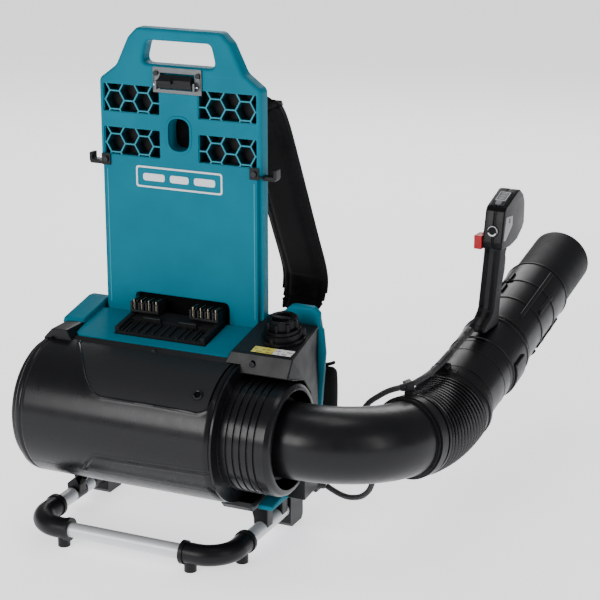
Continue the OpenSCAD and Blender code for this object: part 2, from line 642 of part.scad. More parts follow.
module outlet_seal() color("#0f1012") on_drum()
    tube_x(46.9, pipe_r + 0.15, socket_x[1] - 11.8, socket_x[1] - 8.2);

module elbow_pipe() color("#222326") translate(elbow_start) rotate([-elbow_droop, 0, 0])
    difference() {
        elbow_path(pipe_r, 0);
        elbow_path(pipe_r - pipe_wall, 1);
    }
module elbow_path(r, extra) {
    rod_x(r, elbow_x0 - elbow_x1 - extra, 0);
    elbow_arc(r);
    translate([elbow_bend * sin(elbow_turn), elbow_bend * (1 - cos(elbow_turn)), 0])
        rotate([0, 0, elbow_turn]) rod_x(r, 0, elbow_tail + extra);
}
module elbow_arc(r) translate([0, elbow_bend, 0]) rotate([0, 0, -90])
    rotate_extrude(angle = elbow_turn, $fn = 96) translate([elbow_bend, 0]) circle(r);

// ---------------------------------------------------------------- flexible hose

module hose_lower_cuff() color("#151619") at_elbow_end() difference() {
    union() {
        translate([0, 0, -cuff_back]) cylinder(r = 47.4, h = cuff_back + cuff_out);
        translate([0, 0, -6]) cylinder(r = 49.4, h = 12);
        translate([0, 0, cuff_out - 4]) cylinder(r = 48.6, h = 4);
        rotate([0, 0, clip_roll]) translate([46, -6, 2]) cube([7, 12, 9]);
    }
    translate([0, 0, -cuff_back - 1]) cylinder(r = pipe_r + seat, h = cuff_back + 1);
    translate([0, 0, -0.01]) cylinder(r = 42, h = cuff_out + 1);
}
clip_roll = 172;                  // where the cable clip sits round the cuff

// corrugated wall: rings of points about the bent centre line
rib_pitch = 1 / ribs;
hose_sides = 24;
function hose_ring(f, r) = [for (k = [0:hose_sides - 1]) let (a = f * hose_turn,
    q = 360 * k / hose_sides) [hose_bend_r - (hose_bend_r - r * cos(q)) * cos(a), r * sin(q),
    (hose_bend_r - r * cos(q)) * sin(a)]];
hose_start_f = 0.004;
hose_end_f = 0.994;
hose_profile = concat([[hose_start_f, 42.6], [hose_start_f, hose_r]],
    [for (i = [0:ribs - 1], c = [[0.25, 0], [0.42, rib_h], [0.68, rib_h], [0.85, 0]])
        [(i + c[0]) * rib_pitch, hose_r + c[1]]],
    [[hose_end_f, hose_r], [hose_end_f, 42.6]],
    [for (i = [9:-1:1]) [i / 10, 42.6]]);
module flexible_hose() color("#151619") at_elbow_end() translate([0, 0, cuff_out])
    rotate([0, 0, hose_roll]) {
        n = len(hose_profile);
        polyhedron([for (p = hose_profile) each hose_ring(p[0], p[1])],
            [for (i = [0:n - 1], k = [0:hose_sides - 1]) let (m = (k + 1) % hose_sides, j = (i + 1) % n)
                [i * hose_sides + k, i * hose_sides + m, j * hose_sides + m, j * hose_sides + k]]);
    }

module hose_upper_cuff() color("#151619") at_wand(0) difference() {
    union() {
        rod_y(48.4, 0.4, upper_cuff - 8);
        rod_y(46.6, 0.4, upper_cuff);
        rod_y(50, 10, 16);
        // clip that carries the cable, with its two wings
        translate([-14, 6, 44]) cube([14, 12, 12]);
        translate([-24, 8, 47]) cube([34, 8, 3]);
    }
    rod_y(wand_r + gap, 5, upper_cuff + 1);
    rod_y(42, -1, 10);
}

// ---------------------------------------------------------------- swivel pipe and nozzle

module swivel_pipe() color("#1d1e21") at_wand(0) difference() {
    union() {
        rod_y(wand_r, 5.3, ring_s[1] + 4);
        rod_y(inner_r, 5.3, wand_end);
        rod_y(wand_r + 1.6, upper_cuff + 4, ring_s[0]);
        rod_y(wand_r + 3, ring_s[0], ring_s[0] + 4);
        rod_y(wand_r + 2.2, ring_s[0] + 4, ring_s[1]);
        rod_y(wand_r + 3.4, ring_s[1], ring_s[1] + 4);
    }
    rod_y(wand_r - pipe_wall, 0, ring_s[1] - 4);
    rod_y(inner_r - pipe_wall, 0, wand_end + 1);
}

// adjustable nozzle: the stepped slots give three lengths
module nozzle_sleeve() color("#1d1e21") at_wand(0) difference() {
    union() {
        rod_y(sleeve_r, sleeve_s[0], sleeve_s[1]);
        rod_y(sleeve_r + 1.4, sleeve_s[0], sleeve_s[0] + 5);
        rotate([0, 38, 0]) block([-1.6, sleeve_s[0] + 22, sleeve_r - 1],
            [1.6, sleeve_s[1] - 8, sleeve_r + 2]);
        rotate([0, 60, 0]) block([-1.6, sleeve_s[0] + 60, sleeve_r - 1],
            [1.6, sleeve_s[0] + 96, sleeve_r + 2]);
    }
    rod_y(inner_r + gap, sleeve_s[0] - 1, sleeve_s[1] + 1);
    for (a = [-38, 142]) rotate([0, a, 0]) for (i = [0:2])
        block([9 * i - 12, sleeve_s[0] + 34 + 26 * i, inner_r - 1],
            [9 * i + 3, sleeve_s[0] + 39 + 26 * i, sleeve_r + 8]);
}
module nozzle_tip() color("#2a2b2e") at_wand(0) difference() {
    union() {
        rod_y(nozzle_r, nozzle_s0, sleeve_s[1] + 1);
        rod_y(nozzle_r + 0.7, sleeve_s[1] + 0.4, wand_len);
    }
    rod_y(nozzle_r - 2.4, nozzle_s0 - 1, wand_len + 1);
}

// ---------------------------------------------------------------- control handle

foot_z = 45.2;                    // underside of the handle's foot above the pipe axis
lug_z = -60;                      // the clamp screw, on the hidden side of the pipe
module at_lug() at_wand(handle_s) rotate([0, 42, 0]) children();
module handle_clamp() color("#151619") at_lug() difference() {
    union() {
        rod_y(wand_r + 5.6, -11, 19);
        translate([-8, -11, lug_z - 8]) cube([16, 30, 22]);
    }
    rod_y(wand_r + 2.2 + seat, -12, 26);
    translate([-1.5, -12, lug_z - 10]) cube([3, 38, 24]);
    rotate([0, -42, 0]) block([-60, -12, 8], [60, 26, 60]);
    translate([0, 4, lug_z]) rod_x(2.7, -20, 20);
}
module clamp_knob() color("#202225") at_lug() translate([0, 4, lug_z]) {
    rod_x(2.5, -11, 11);
    difference() {
        rod_x(9, 8.4, 17);
        for (a = [0:60:300]) rotate([a, 0, 0]) translate([0, 0, 10.5]) rod_x(3, 8, 18);
    }
}

// side outlines of the handle: foot and leaning grip, then the wider head
GRIP = [[-34, 47], [-32, 56], [-17, 62], [-6, 70], [8, 138], [9, 150], [40, 150], [30, 136],
    [15, 72], [14, 62], [13, 47]];
HEAD = [[7.5, 143], [8, 152], [16, 190], [20, 195], [58, 209], [66, 208], [77, 200], [82, 190],
    [82, 163], [76, 156], [60, 146], [38, 142]];
handle_dx = 1.5;                  // the handle stands a little to the right of the pipe's axis
grip_w = 21.6;                    // width of the grip
head_w = 26;                      // width of the head
module on_handle() at_handle() translate([handle_dx, 0, 0]) children();
module grip_hollow() polygon([[-2, 70], [10.6, 138], [12, 153], [24, 153], [26, 136], [11.5, 70]]);
module head_hollow() polygon([[10.6, 146], [11, 152], [18.9, 187.4], [56, 202], [72, 196],
    [77, 186], [77, 165], [58, 151], [38, 146]]);
trigger_at = [20, 137];
cruise_at = [20, 156];
button_at = [9.6, 166];           // power button, on the front face
button_tilt = 13;
module at_button() translate([0, button_at.x, button_at.y]) rotate([button_tilt, 0, 0]) children();
module handle_half(m) difference() {
    union() {
        slab_x(m < 0 ? -grip_w / 2 : 0.05, m < 0 ? -0.05 : grip_w / 2) polygon(GRIP);
        slab_x(m < 0 ? -head_w / 2 : 0.05, m < 0 ? -0.05 : head_w / 2) polygon(HEAD);
    }
    slab_x(m < 0 ? 2.4 - grip_w / 2 : -1, m < 0 ? 1 : grip_w / 2 - 2.4) grip_hollow();
    slab_x(m < 0 ? 2.4 - head_w / 2 : -1, m < 0 ? 1 : head_w / 2 - 2.4) head_hollow();
    // openings: trigger, power button, display, cruise lever, cable, pin
    slab_x(-8.4, 8.4) polygon([[10, 92], [40, 92], [50, 149.8], [22, 149.8]]);
    at_button() rod_y(6.3, -8, 8);
    slab_x(-9.4, 9.4) polygon([[22, 190.6], [54.4, 203.4], [52, 213], [14, 202]]);
    translate([0, cruise_at.x, cruise_at.y]) rod_x(6.3, -20, -8);
    translate([-handle_dx, -18, 54]) rotate([-16, 0, 0]) rod_y(4.2, -40, 6);
    translate([0, trigger_at.x, trigger_at.y]) rod_x(1.5 + seat, -9.4, 9.4);
    // cut to the round of the pipe
    translate([-handle_dx, 0, 0]) rotate([wand_pitch, 0, 0]) rod_y(foot_z, -80, 80);
}
module handle_shell_left() color("#151619") on_handle() handle_half(-1);
module handle_shell_right() color("#151619") on_handle() handle_half(1);

module throttle_trigger() color("#202225") on_handle() slab_x(-7.8, 7.8) difference() {
    polygon([[15.5, 141], [24, 142], [32, 137], [37, 127], [35, 112], [29, 98], [22, 98],
        [19, 120]]);
    translate(trigger_at) circle(1.5 + 0.08);
}
module trigger_pin() color("#b9bcc0") on_handle() translate([0, trigger_at.x, trigger_at.y])
    rod_x(1.5, -9.2, 9.2);
module cruise_lever() color("#c02a30") on_handle() translate([0, cruise_at.x, cruise_at.y]) {
    rod_x(6, -16, -8.6);
    block([-23, -14, -14], [-13.4, 4, 3]);
}
module power_button() color("#e8eaec") on_handle() at_button() rod_y(6, -3.2, 7.6);
module display_module() color("#30343a") on_handle() difference() {
    slab_x(-9.1, 9.1) polygon([[23, 191.6], [53.8, 203.8], [52.4, 207.6], [21.2, 196.6]]);
    slab_x(-4.4, 4.4) polygon([[23, 188], [34, 193], [31, 205], [19.6, 201]]);
}
module mode_button() color("#c9ccd0") on_handle() slab_x(-4, 4)
    polygon([[24.6, 193], [31.6, 195.8], [30.4, 200.6], [22.6, 197.9]]);

// ---------------------------------------------------------------- control cable

module cable_gland() color("#151619") {
    block([141, back_y + 4.6, 44], [166, 197, 57]);
    translate([165, 188, 51]) rotate([0, 96, 0]) cylinder(r1 = 6.5, r2 = 4.6, h = 7.2);
}
module control_cable_loop() color("#17181a") swept_tube(LOOP_PTS, cable_d);
module control_cable_hose() color("#17181a") swept_tube(HOSE_PTS, cable_d);
module control_cable_wand() color("#17181a") swept_tube(WAND_PTS, cable_d);

// ---------------------------------------------------------------- harness

pad_y = back_y + 4.2;
module back_pad() color("#17181a") plate_y(pad_y, pad_y + 20) translate([0, 410]) rounded(168, 186, 26);
module hip_belt() color("#17181a") {
    plate_y(pad_y, pad_y + 26) translate([0, 165]) rounded(230, 86, 30);
    for (m = [-1, 1]) scale([m, 1, 1]) translate([0, 0, 118]) linear_extrude(86)
        polygon([[110, pad_y + 4], [140, pad_y + 5], [162, pad_y + 12], [177, pad_y + 30],
            [180, pad_y + 46], [164, pad_y + 46], [160, pad_y + 32], [146, pad_y + 22],
            [110, pad_y + 20]]);
}
module shoulder_strap(grow = 0) slab_x(strap_x[0] - grow, strap_x[1] + grow)
    polygon(band(STRAP_PTS, strap_t + 2 * grow));
module shoulder_strap_right() color("#17181a") shoulder_strap();
module shoulder_strap_left() color("#17181a") mirror([1, 0, 0]) shoulder_strap();
module strap_webbing() color("#202225") both_sides() {
    slab_x(66, 92) polygon(band(WEB_PTS, 2.4));
    slab_x(64, 94) polygon(band([[pad_y + 1.4, 535], [183, 531], [190, 525.5]], 2.4));
}
module strap_buckles() color("#151619") both_sides() difference() {
    union() {
        translate([79, 301, 216]) rotate([46, 0, 0]) cube([36, 8, 22], center = true);
        translate([79, 227, 505]) rotate([-55, 0, 0]) cube([34, 7, 14], center = true);
    }
    slab_x(65, 93) polygon(band(WEB_PTS, 3));
    shoulder_strap(0.3);
}
module chest_strap() color("#202225") {
    for (m = [-1, 1]) scale([m, 1, 1]) block([17, 256, 418], [45.6, 258.5, 436]);
    block([-16.8, 252, 415], [16.8, 262, 439]);
}

// ---------------------------------------------------------------- parts

stand_tube();
stand_corner_covers();
stand_saddles();
rear_feet();
backplate();
rear_cover();
deck();
pack_seat();
terminal_blocks();
terminal_blades();
latch_plate();
latch_lever();
latch_pin();
side_hooks();
cover_screws();
drum_upper_cover();
drum_lower_cover();
intake_ring();
intake_grille();
fan_duct();
motor_stator();
motor_bearings();
motor_rotor();
fan_shaft();
fan_impeller();
controller_box();
outlet_cover();
connector_base();
connector_cap();
outlet_collar();
outlet_socket();
outlet_seal();
elbow_pipe();
hose_lower_cuff();
flexible_hose();
hose_upper_cuff();
swivel_pipe();
nozzle_sleeve();
nozzle_tip();
handle_clamp();
clamp_knob();
handle_shell_left();
handle_shell_right();
throttle_trigger();
trigger_pin();
cruise_lever();
power_button();
display_module();
mode_button();
cable_gland();
control_cable_loop();
control_cable_hose();
control_cable_wand();
back_pad();
hip_belt();
shoulder_strap_left();
shoulder_strap_right();
strap_webbing();
strap_buckles();
chest_strap();
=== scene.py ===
"""Looks of the backpack leaf blower: camera, light, materials, soft goods and detailed mouldings."""
import json
import math

import bmesh
import bpy
from mathutils import Matrix, Vector


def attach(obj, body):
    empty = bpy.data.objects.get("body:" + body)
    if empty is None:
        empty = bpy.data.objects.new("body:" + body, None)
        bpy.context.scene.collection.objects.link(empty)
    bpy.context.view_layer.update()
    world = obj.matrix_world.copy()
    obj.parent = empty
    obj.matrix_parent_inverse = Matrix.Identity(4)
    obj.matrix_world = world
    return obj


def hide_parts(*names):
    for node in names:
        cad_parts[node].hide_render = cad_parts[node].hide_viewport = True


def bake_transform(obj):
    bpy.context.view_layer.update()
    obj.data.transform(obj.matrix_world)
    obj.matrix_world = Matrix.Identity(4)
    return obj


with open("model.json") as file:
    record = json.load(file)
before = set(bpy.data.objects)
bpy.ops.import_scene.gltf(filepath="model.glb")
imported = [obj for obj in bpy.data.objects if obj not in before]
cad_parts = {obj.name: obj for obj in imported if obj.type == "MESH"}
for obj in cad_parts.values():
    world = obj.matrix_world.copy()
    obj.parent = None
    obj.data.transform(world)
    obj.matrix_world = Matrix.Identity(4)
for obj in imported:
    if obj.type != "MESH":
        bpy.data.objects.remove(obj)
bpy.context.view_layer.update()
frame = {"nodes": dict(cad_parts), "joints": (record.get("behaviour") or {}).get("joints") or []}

MM = 0.001
UP = Vector((0, 0, 1))
scene = bpy.context.scene
JOINTS = {j["name"]: j for j in frame["joints"]}


# ---------------- camera, floor and light

CAMERA_PLACE = (1.0093, -1.7224, 0.924)
CAMERA_TURN, CAMERA_RISE, CAMERA_LENS = 24.5, 17, 110.64


def make_camera():
    """Camera at the photograph's viewing angle, turned round to the right and looking down."""
    data = bpy.data.cameras.new("camera")
    data.sensor_width = 36
    data.lens = CAMERA_LENS
    camera = bpy.data.objects.new("camera", data)
    scene.collection.objects.link(camera)
    camera.location = CAMERA_PLACE
    camera.rotation_euler = (math.radians(90 - CAMERA_RISE), 0, math.radians(CAMERA_TURN))
    scene.camera = camera


def softbox(name, place, aim, size, power):
    data = bpy.data.lights.new(name, "AREA")
    data.shape = "RECTANGLE"
    data.size, data.size_y = size
    data.energy = power
    lamp = bpy.data.objects.new(name, data)
    scene.collection.objects.link(lamp)
    lamp.location = place
    lamp.rotation_euler = (Vector(aim) - Vector(place)).to_track_quat("-Z", "Y").to_euler()


def make_light():
    world = bpy.data.worlds.new("studio")
    world.use_nodes = True
    background = world.node_tree.nodes["Background"]
    background.inputs["Color"].default_value = (0.96, 0.97, 1.0, 1)
    background.inputs["Strength"].default_value = 0.30
    scene.world = world
    softbox("key", (-0.9, -2.7, 1.25), (0, 0.1, 0.25), (1.5, 1.2), 58)
    softbox("right_strip", (2.5, -0.9, 1.2), (0.1, 0.1, 0.25), (0.6, 1.6), 13)
    softbox("top", (0.1, 0.3, 2.7), (0, 0.1, 0.2), (1.2, 0.8), 12)
    softbox("back", (-0.6, 2.4, 1.7), (0, 0.1, 0.3), (1.6, 1.2), 30)


# ---------------- materials

class Shader:
    """A principled material whose node tree is built step by step."""

    def __init__(self, name, colour, rough, metal=0.0, coat=0.0, specular=0.5, sheen=0.0):
        self.mat = bpy.data.materials.new(name)
        self.mat.use_nodes = True
        self.tree = self.mat.node_tree
        self.bsdf = self.tree.nodes["Principled BSDF"]
        for key, value in (("Base Color", (*colour, 1)), ("Roughness", rough), ("Metallic", metal),
                           ("Specular IOR Level", specular), ("Coat Weight", coat), ("Coat Roughness", 0.18),
                           ("Sheen Weight", sheen), ("Sheen Roughness", 0.45)):
            self.bsdf.inputs[key].default_value = value
        self.colour = colour
        self.rough = rough
        self.place = self.add("ShaderNodeTexCoord").outputs["Object"]
        self.normal = None
        self.tint = None

    def add(self, kind, **values):
        """Node of a kind with its settings, or its inputs where a setting has no such name."""
        node = self.tree.nodes.new(kind)
        for key, value in values.items():
            if hasattr(node, key):
                setattr(node, key, value)
            else:
                node.inputs[key.replace("_", " ")].default_value = value
        return node

    def link(self, source, target):
        self.tree.links.new(source, target)

    def place_along(self, axis):
        split = self.add("ShaderNodeSeparateXYZ")
        self.link(self.place, split.inputs[0])
        return split.outputs[axis]

    def noise(self, scale, detail, stretch=(1, 1, 1)):
        mapping = self.add("ShaderNodeMapping", Scale=stretch)
        self.link(self.place, mapping.inputs["Vector"])
        node = self.add("ShaderNodeTexNoise", Scale=scale, Detail=detail)
        self.link(mapping.outputs["Vector"], node.inputs["Vector"])
        return node.outputs["Fac"]

    def math(self, kind, a, b=0.0, c=None):
        node = self.add("ShaderNodeMath", operation=kind)
        for i, value in enumerate((a, b) if c is None else (a, b, c)):
            if isinstance(value, (int, float)):
                node.inputs[i].default_value = value
            else:
                self.link(value, node.inputs[i])
        return node.outputs["Value"]

    def remap(self, value, low, high, new_low, new_high):
        node = self.add("ShaderNodeMapRange", From_Min=low, From_Max=high, To_Min=new_low, To_Max=new_high)
        self.link(value, node.inputs["Value"])
        return node.outputs["Result"]

    def bump(self, height, strength, distance):
        node = self.add("ShaderNodeBump", Strength=strength, Distance=distance)
        self.link(height, node.inputs["Height"])
        if self.normal is not None:
            self.link(self.normal, node.inputs["Normal"])
        self.normal = node.outputs["Normal"]
        self.link(self.normal, self.bsdf.inputs["Normal"])
        return self

    def mix(self, factor, colour):
        """Mixes a colour over what the base colour is so far."""
        node = self.add("ShaderNodeMix", data_type="RGBA")
        if self.tint is None:
            node.inputs[6].default_value = (*self.colour, 1)
        else:
            self.link(self.tint, node.inputs[6])
        node.inputs[7].default_value = (*colour, 1)
        self.link(factor, node.inputs[0])
        self.tint = node.outputs[2]
        self.link(self.tint, self.bsdf.inputs["Base Color"])
        return self

    def vary(self, scale, amount, spread=0.06):
        """Uneven colour and roughness, as handling and dust leave."""
        cloud = self.noise(scale, 5)
        darker = tuple(c * (1 - amount) for c in self.colour)
        self.mix(self.remap(cloud, 0.35, 0.7, 0, 1), darker)
        rough = self.remap(self.noise(scale * 2.7, 4), 0.3, 0.7, self.rough - spread, self.rough + spread)
        self.link(rough, self.bsdf.inputs["Roughness"])
        return self

    def worn_edges(self, colour, amount):
        """Lighter rubbed edges on sharp convex corners."""
        shape = self.add("ShaderNodeNewGeometry").outputs["Pointiness"]
        return self.mix(self.remap(shape, 0.53, 0.62, 0, amount), colour)

    def grain(self, scale, strength):
        return self.bump(self.noise(scale, 2), strength, 0.0003)

    def stripes(self, axis, pitch):
        """0 to 1 wave along an axis, one period every pitch metres."""
        turn = self.math("MULTIPLY", self.place_along(axis), 2 * math.pi / pitch)
        return self.math("MULTIPLY_ADD", self.math("SINE", turn), 0.5, 0.5)

    def weave(self, pitch, strength):
        """Over-and-under threads of a plain weave, darker where the threads dip: painted shade in the gaps.
        """
        a = self.stripes("X", pitch)
        b = self.stripes("Z", pitch)
        over = self.math("MULTIPLY", a, b)
        under = self.math("MULTIPLY", self.math("SUBTRACT", 1.0, a), self.math("SUBTRACT", 1.0, b))
        threads = self.math("ADD", over, under)
        # Painted shade: the base colour darkens where the bump's height is low, between the threads.
        self.mix(self.remap(threads, 0, 1, 0.55, 0), tuple(c * 0.35 for c in self.colour))
        return self.bump(threads, strength, pitch * 0.3)


def moulding(name, colour, rough, coat=0.0, grain=1400, strength=0.12, worn=0.2, specular=0.30):
    light = tuple(min(1, c * 1.6 + 0.03) for c in colour)
    return (Shader(name, colour, rough, coat=coat, specular=specular).vary(22, 0.10, 0.05)
            .worn_edges(light, worn).grain(grain, strength).mat)


TEAL = moulding("teal_moulding", (0.0, 0.148, 0.214), 0.46, worn=0.06, specular=0.07)
# Lit and shaded copies of the teal moulding: the lighter one is painted highlight on the honeycomb edges and
# groove strips, the darker one is painted shade on the honeycomb walls.
LIT_TEAL = moulding("lit_teal", (0.006, 0.22, 0.30), 0.42, worn=0.2)
SHADED_TEAL = moulding("shaded_teal", (0.0012, 0.030, 0.042), 0.6, worn=0.1)
BLACK = moulding("black_moulding", (0.0058, 0.0060, 0.0068), 0.38, specular=0.20)
DRUM = moulding("drum_moulding", (0.0055, 0.0057, 0.0068), 0.30, coat=0.16, grain=900, strength=0.08,
                specular=0.17)
GLOSS = moulding("gloss_moulding", (0.0040, 0.0042, 0.0050), 0.30, coat=0.02, grain=900, strength=0.03,
                 specular=0.12)
PALE = moulding("pale_trim", (0.27, 0.275, 0.285), 0.35, worn=0.0)
PIPE = moulding("pipe_moulding", (0.0058, 0.0060, 0.0068), 0.34, coat=0.06, grain=700, strength=0.06,
                specular=0.22)
MATT = moulding("matt_moulding", (0.0085, 0.0088, 0.0098), 0.55, grain=1100, strength=0.25, specular=0.16)
GREY = moulding("grey_moulding", (0.10, 0.105, 0.115), 0.45, coat=0.1)
HOSE = moulding("hose_plastic", (0.0052, 0.0053, 0.0060), 0.24, coat=0.25, grain=500, strength=0.03)
RED = moulding("red_plastic", (0.40, 0.014, 0.020), 0.34, coat=0.1)
WHITE = moulding("light_plastic", (0.70, 0.72, 0.74), 0.30, coat=0.3, worn=0.0)
SILVER = moulding("silver_trim", (0.48, 0.50, 0.53), 0.28, coat=0.2, worn=0.0)
HOLE = Shader("deep_shadow", (0.002, 0.002, 0.0025), 0.9, specular=0.1).vary(40, 0.3).mat
RUBBER = Shader("cable_jacket", (0.010, 0.0102, 0.011), 0.55).vary(60, 0.3).grain(1800, 0.3).mat
SEAL = Shader("seal_rubber", (0.008, 0.008, 0.009), 0.75).vary(50, 0.3).grain(1500, 0.25).mat


def brushed(name, colour, rough, stretch, strength=0.1):
    shade = Shader(name, colour, rough, metal=1.0)
    lines = shade.noise(260, 4, stretch)
    shade.mix(shade.remap(lines, 0.35, 0.75, 0, 0.55), tuple(c * 0.72 for c in colour))
    shade.link(shade.remap(lines, 0.3, 0.7, rough - 0.07, rough + 0.1), shade.bsdf.inputs["Roughness"])
    return shade.bump(lines, strength, 0.0002).mat


TUBE = Shader("tube_aluminium", (0.66, 0.67, 0.69), 0.42, metal=0.35).vary(9, 0.10, 0.05).grain(700, 0.05).mat
STEEL = brushed("latch_steel", (0.13, 0.135, 0.14), 0.42, (1, 1, 14))
DARK_STEEL = brushed("blackened_screw", (0.035, 0.036, 0.038), 0.42, (1, 12, 1))
BRIGHT = brushed("turned_steel", (0.62, 0.63, 0.65), 0.25, (1, 12, 1))
CORE = brushed("motor_steel", (0.22, 0.22, 0.24), 0.5, (14, 1, 1))
COPPER = brushed("winding_copper", (0.55, 0.23, 0.09), 0.4, (3, 12, 3), 0.3)
# Duller and darker than bare brass: painted shade for the blades that sit inside the terminal blocks.
BRASS = brushed("terminal_brass", (0.46, 0.40, 0.27), 0.32, (1, 1, 9))
ALLOY = brushed("heatsink_alloy", (0.5, 0.51, 0.53), 0.5, (1, 1, 8))


def fabric(name, colour, pitch, strength):
    shade = Shader(name, colour, 0.85, specular=0.10, sheen=0.12)
    return shade.vary(14, 0.25, 0.05).weave(pitch, strength).mat


PADDING = fabric("padded_fabric", (0.0062, 0.0064, 0.0074), 0.0021, 0.5)
MESH = fabric("mesh_fabric", (0.0095, 0.0097, 0.0108), 0.0034, 0.9)
WEBBING = fabric("webbing", (0.0115, 0.0117, 0.0128), 0.0026, 0.8)
BINDING = fabric("edge_binding", (0.0150, 0.0153, 0.0168), 0.0016, 0.7)
THREAD = Shader("stitching", (0.075, 0.077, 0.082), 0.8, sheen=0.3).vary(90, 0.2).mat


def braided_sleeve():
    """Two sets of crossing threads round the cable, much darker in the gaps between them: painted shade."""
    shade = Shader("braided_sleeve", (0.020, 0.0204, 0.022), 0.62, sheen=0.2)
    cross = shade.math("MULTIPLY", shade.stripes("X", 0.0024), shade.stripes("Z", 0.0024))
    # Painted shade in the dips of the bump, between the threads.
    shade.mix(shade.remap(cross, 0, 0.7, 0.7, 0), (0.004, 0.004, 0.0045))
    return shade.bump(cross, 0.7, 0.0006).mat


def display_glass():
    """Smoked display cover with faint bars behind the gloss."""
    shade = Shader("display_glass", (0.006, 0.0065, 0.0075), 0.16, coat=0.12, specular=0.3)
    bars = shade.stripes("Y", 0.0088)
    return shade.mix(shade.remap(bars, 0.55, 0.62, 0, 0.3), (0.012, 0.013, 0.015)).mat


def label_paper():
    """Sticker, yellow to the left and white to the right of a line, with rows of plain grey blocks."""
    shade = Shader("label_paper", (0.80, 0.80, 0.78), 0.35, coat=0.3)
    shade.mix(shade.remap(shade.place_along("X"), 0.1535, 0.1541, 1, 0), (0.72, 0.64, 0.10))
    rows = shade.math("GREATER_THAN", shade.stripes("Y", 0.0056), 0.62)
    blocks = shade.math("GREATER_THAN", shade.noise(300, 0, (1, 0.35, 1)), 0.5)
    ink = shade.math("MULTIPLY", shade.math("MULTIPLY", rows, blocks), 0.75)
    return shade.mix(ink, (0.09, 0.09, 0.08)).mat


BRAID = braided_sleeve()
GLASS = display_glass()
LABEL = label_paper()
MATERIALS_OF = {
    "teal_moulding": (TEAL, LIT_TEAL, SHADED_TEAL), "light_plastic": (WHITE, LABEL), "hose_plastic": (HOSE,),
    "cable_jacket": (BRAID, RUBBER), "screw_steel": (DARK_STEEL,), "display_plastic": (GREY, SILVER),
    "padded_fabric": (PADDING, MESH, BINDING), "webbing": (WEBBING, THREAD),
}
SLOT_OF = {material.name: slot for slot, materials in MATERIALS_OF.items() for material in materials}


def floor_paper():
    shade = Shader("floor_paper", (0.90, 0.905, 0.915), 0.75, specular=0.2)
    shade.bsdf.inputs["Emission Color"].default_value = (0.97, 0.98, 1.0, 1)
    shade.bsdf.inputs["Emission Strength"].default_value = 1.25
    return shade.vary(1.2, 0.02, 0.03).mat


def make_floor():
    bpy.ops.mesh.primitive_plane_add(size=40, location=(0, 0, -0.0002))
    floor = bpy.context.object
    floor.name = "floor"
    floor.data.materials.append(floor_paper())


# ---------------- mesh helpers (millimetres in)

def shade_mesh(mesh, material, smooth=True):
    mesh.materials.clear()
    mesh.materials.append(material)
    for face in mesh.polygons:
        face.use_smooth = smooth


def finish_mesh(name, mesh, material, body="machine", slot=None, smooth=True):
    """Piece of one material that rides a body; its slot is worked out and not used."""
    obj = bpy.data.objects.new(name, mesh)
    scene.collection.objects.link(obj)
    shade_mesh(mesh, material, smooth)
    if body:
        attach(obj, body)
    slot = slot or SLOT_OF.get(material.name, "black_moulding")
    return obj


def put_in_place(mesh, place, merge=False):
    """Moves a mesh by a matrix and turns its faces outwards."""
    if place is not None:
        mesh.transform(place)
    work = bmesh.new()
    work.from_mesh(mesh)
    if merge:
        bmesh.ops.remove_doubles(work, verts=work.verts, dist=1e-6)
    bmesh.ops.recalc_face_normals(work, faces=work.faces)
    work.to_mesh(mesh)
    work.free()


def from_points(name, points, faces, material, place=None, **fit):
    """Piece from points in millimetres; fit holds its body, slot or smooth."""
    mesh = bpy.data.meshes.new(name)
    mesh.from_pydata([Vector(p) * MM for p in points], [], faces)
    put_in_place(mesh, place)
    return finish_mesh(name, mesh, material, **fit)


def made_mesh(obj):
    """Mesh of an object as its modifiers or its curve settings make it."""
    return bpy.data.meshes.new_from_object(obj.evaluated_get(bpy.context.evaluated_depsgraph_get()))


def apply_modifiers(obj):
    mesh = made_mesh(obj)
    shade_mesh(mesh, obj.data.materials[0])
    obj.modifiers.clear()
    obj.data = mesh


def fillet(points, steps=6):
    """Outline of (x, y, radius) corners turned into points along round corners."""
    out = []
    for i, (x, y, radius) in enumerate(points):
        here = Vector((x, y))
        back = Vector(points[i - 1][:2]) - here
        ahead = Vector(points[(i + 1) % len(points)][:2]) - here
        if radius <= 0:
            out.append(here)
            continue
        angle = back.angle(ahead)
        cut = min(radius / math.tan(angle / 2), 0.49 * back.length, 0.49 * ahead.length)
        start, end = here + back.normalized() * cut, here + ahead.normalized() * cut
        for k in range(steps + 1):
            t = k / steps
            out.append(start * (1 - t) ** 2 + here * 2 * t * (1 - t) + end * t ** 2)
    return out


def at(x, y, z):
    return Matrix.Translation(Vector((x, y, z)) * MM)


SIDE = {
    "y": Matrix(((1, 0, 0, 0), (0, 0, -1, 0), (0, 1, 0, 0), (0, 0, 0, 1))),
    "x": Matrix(((0, 0, 1, 0), (1, 0, 0, 0), (0, 1, 0, 0), (0, 0, 0, 1))),
}


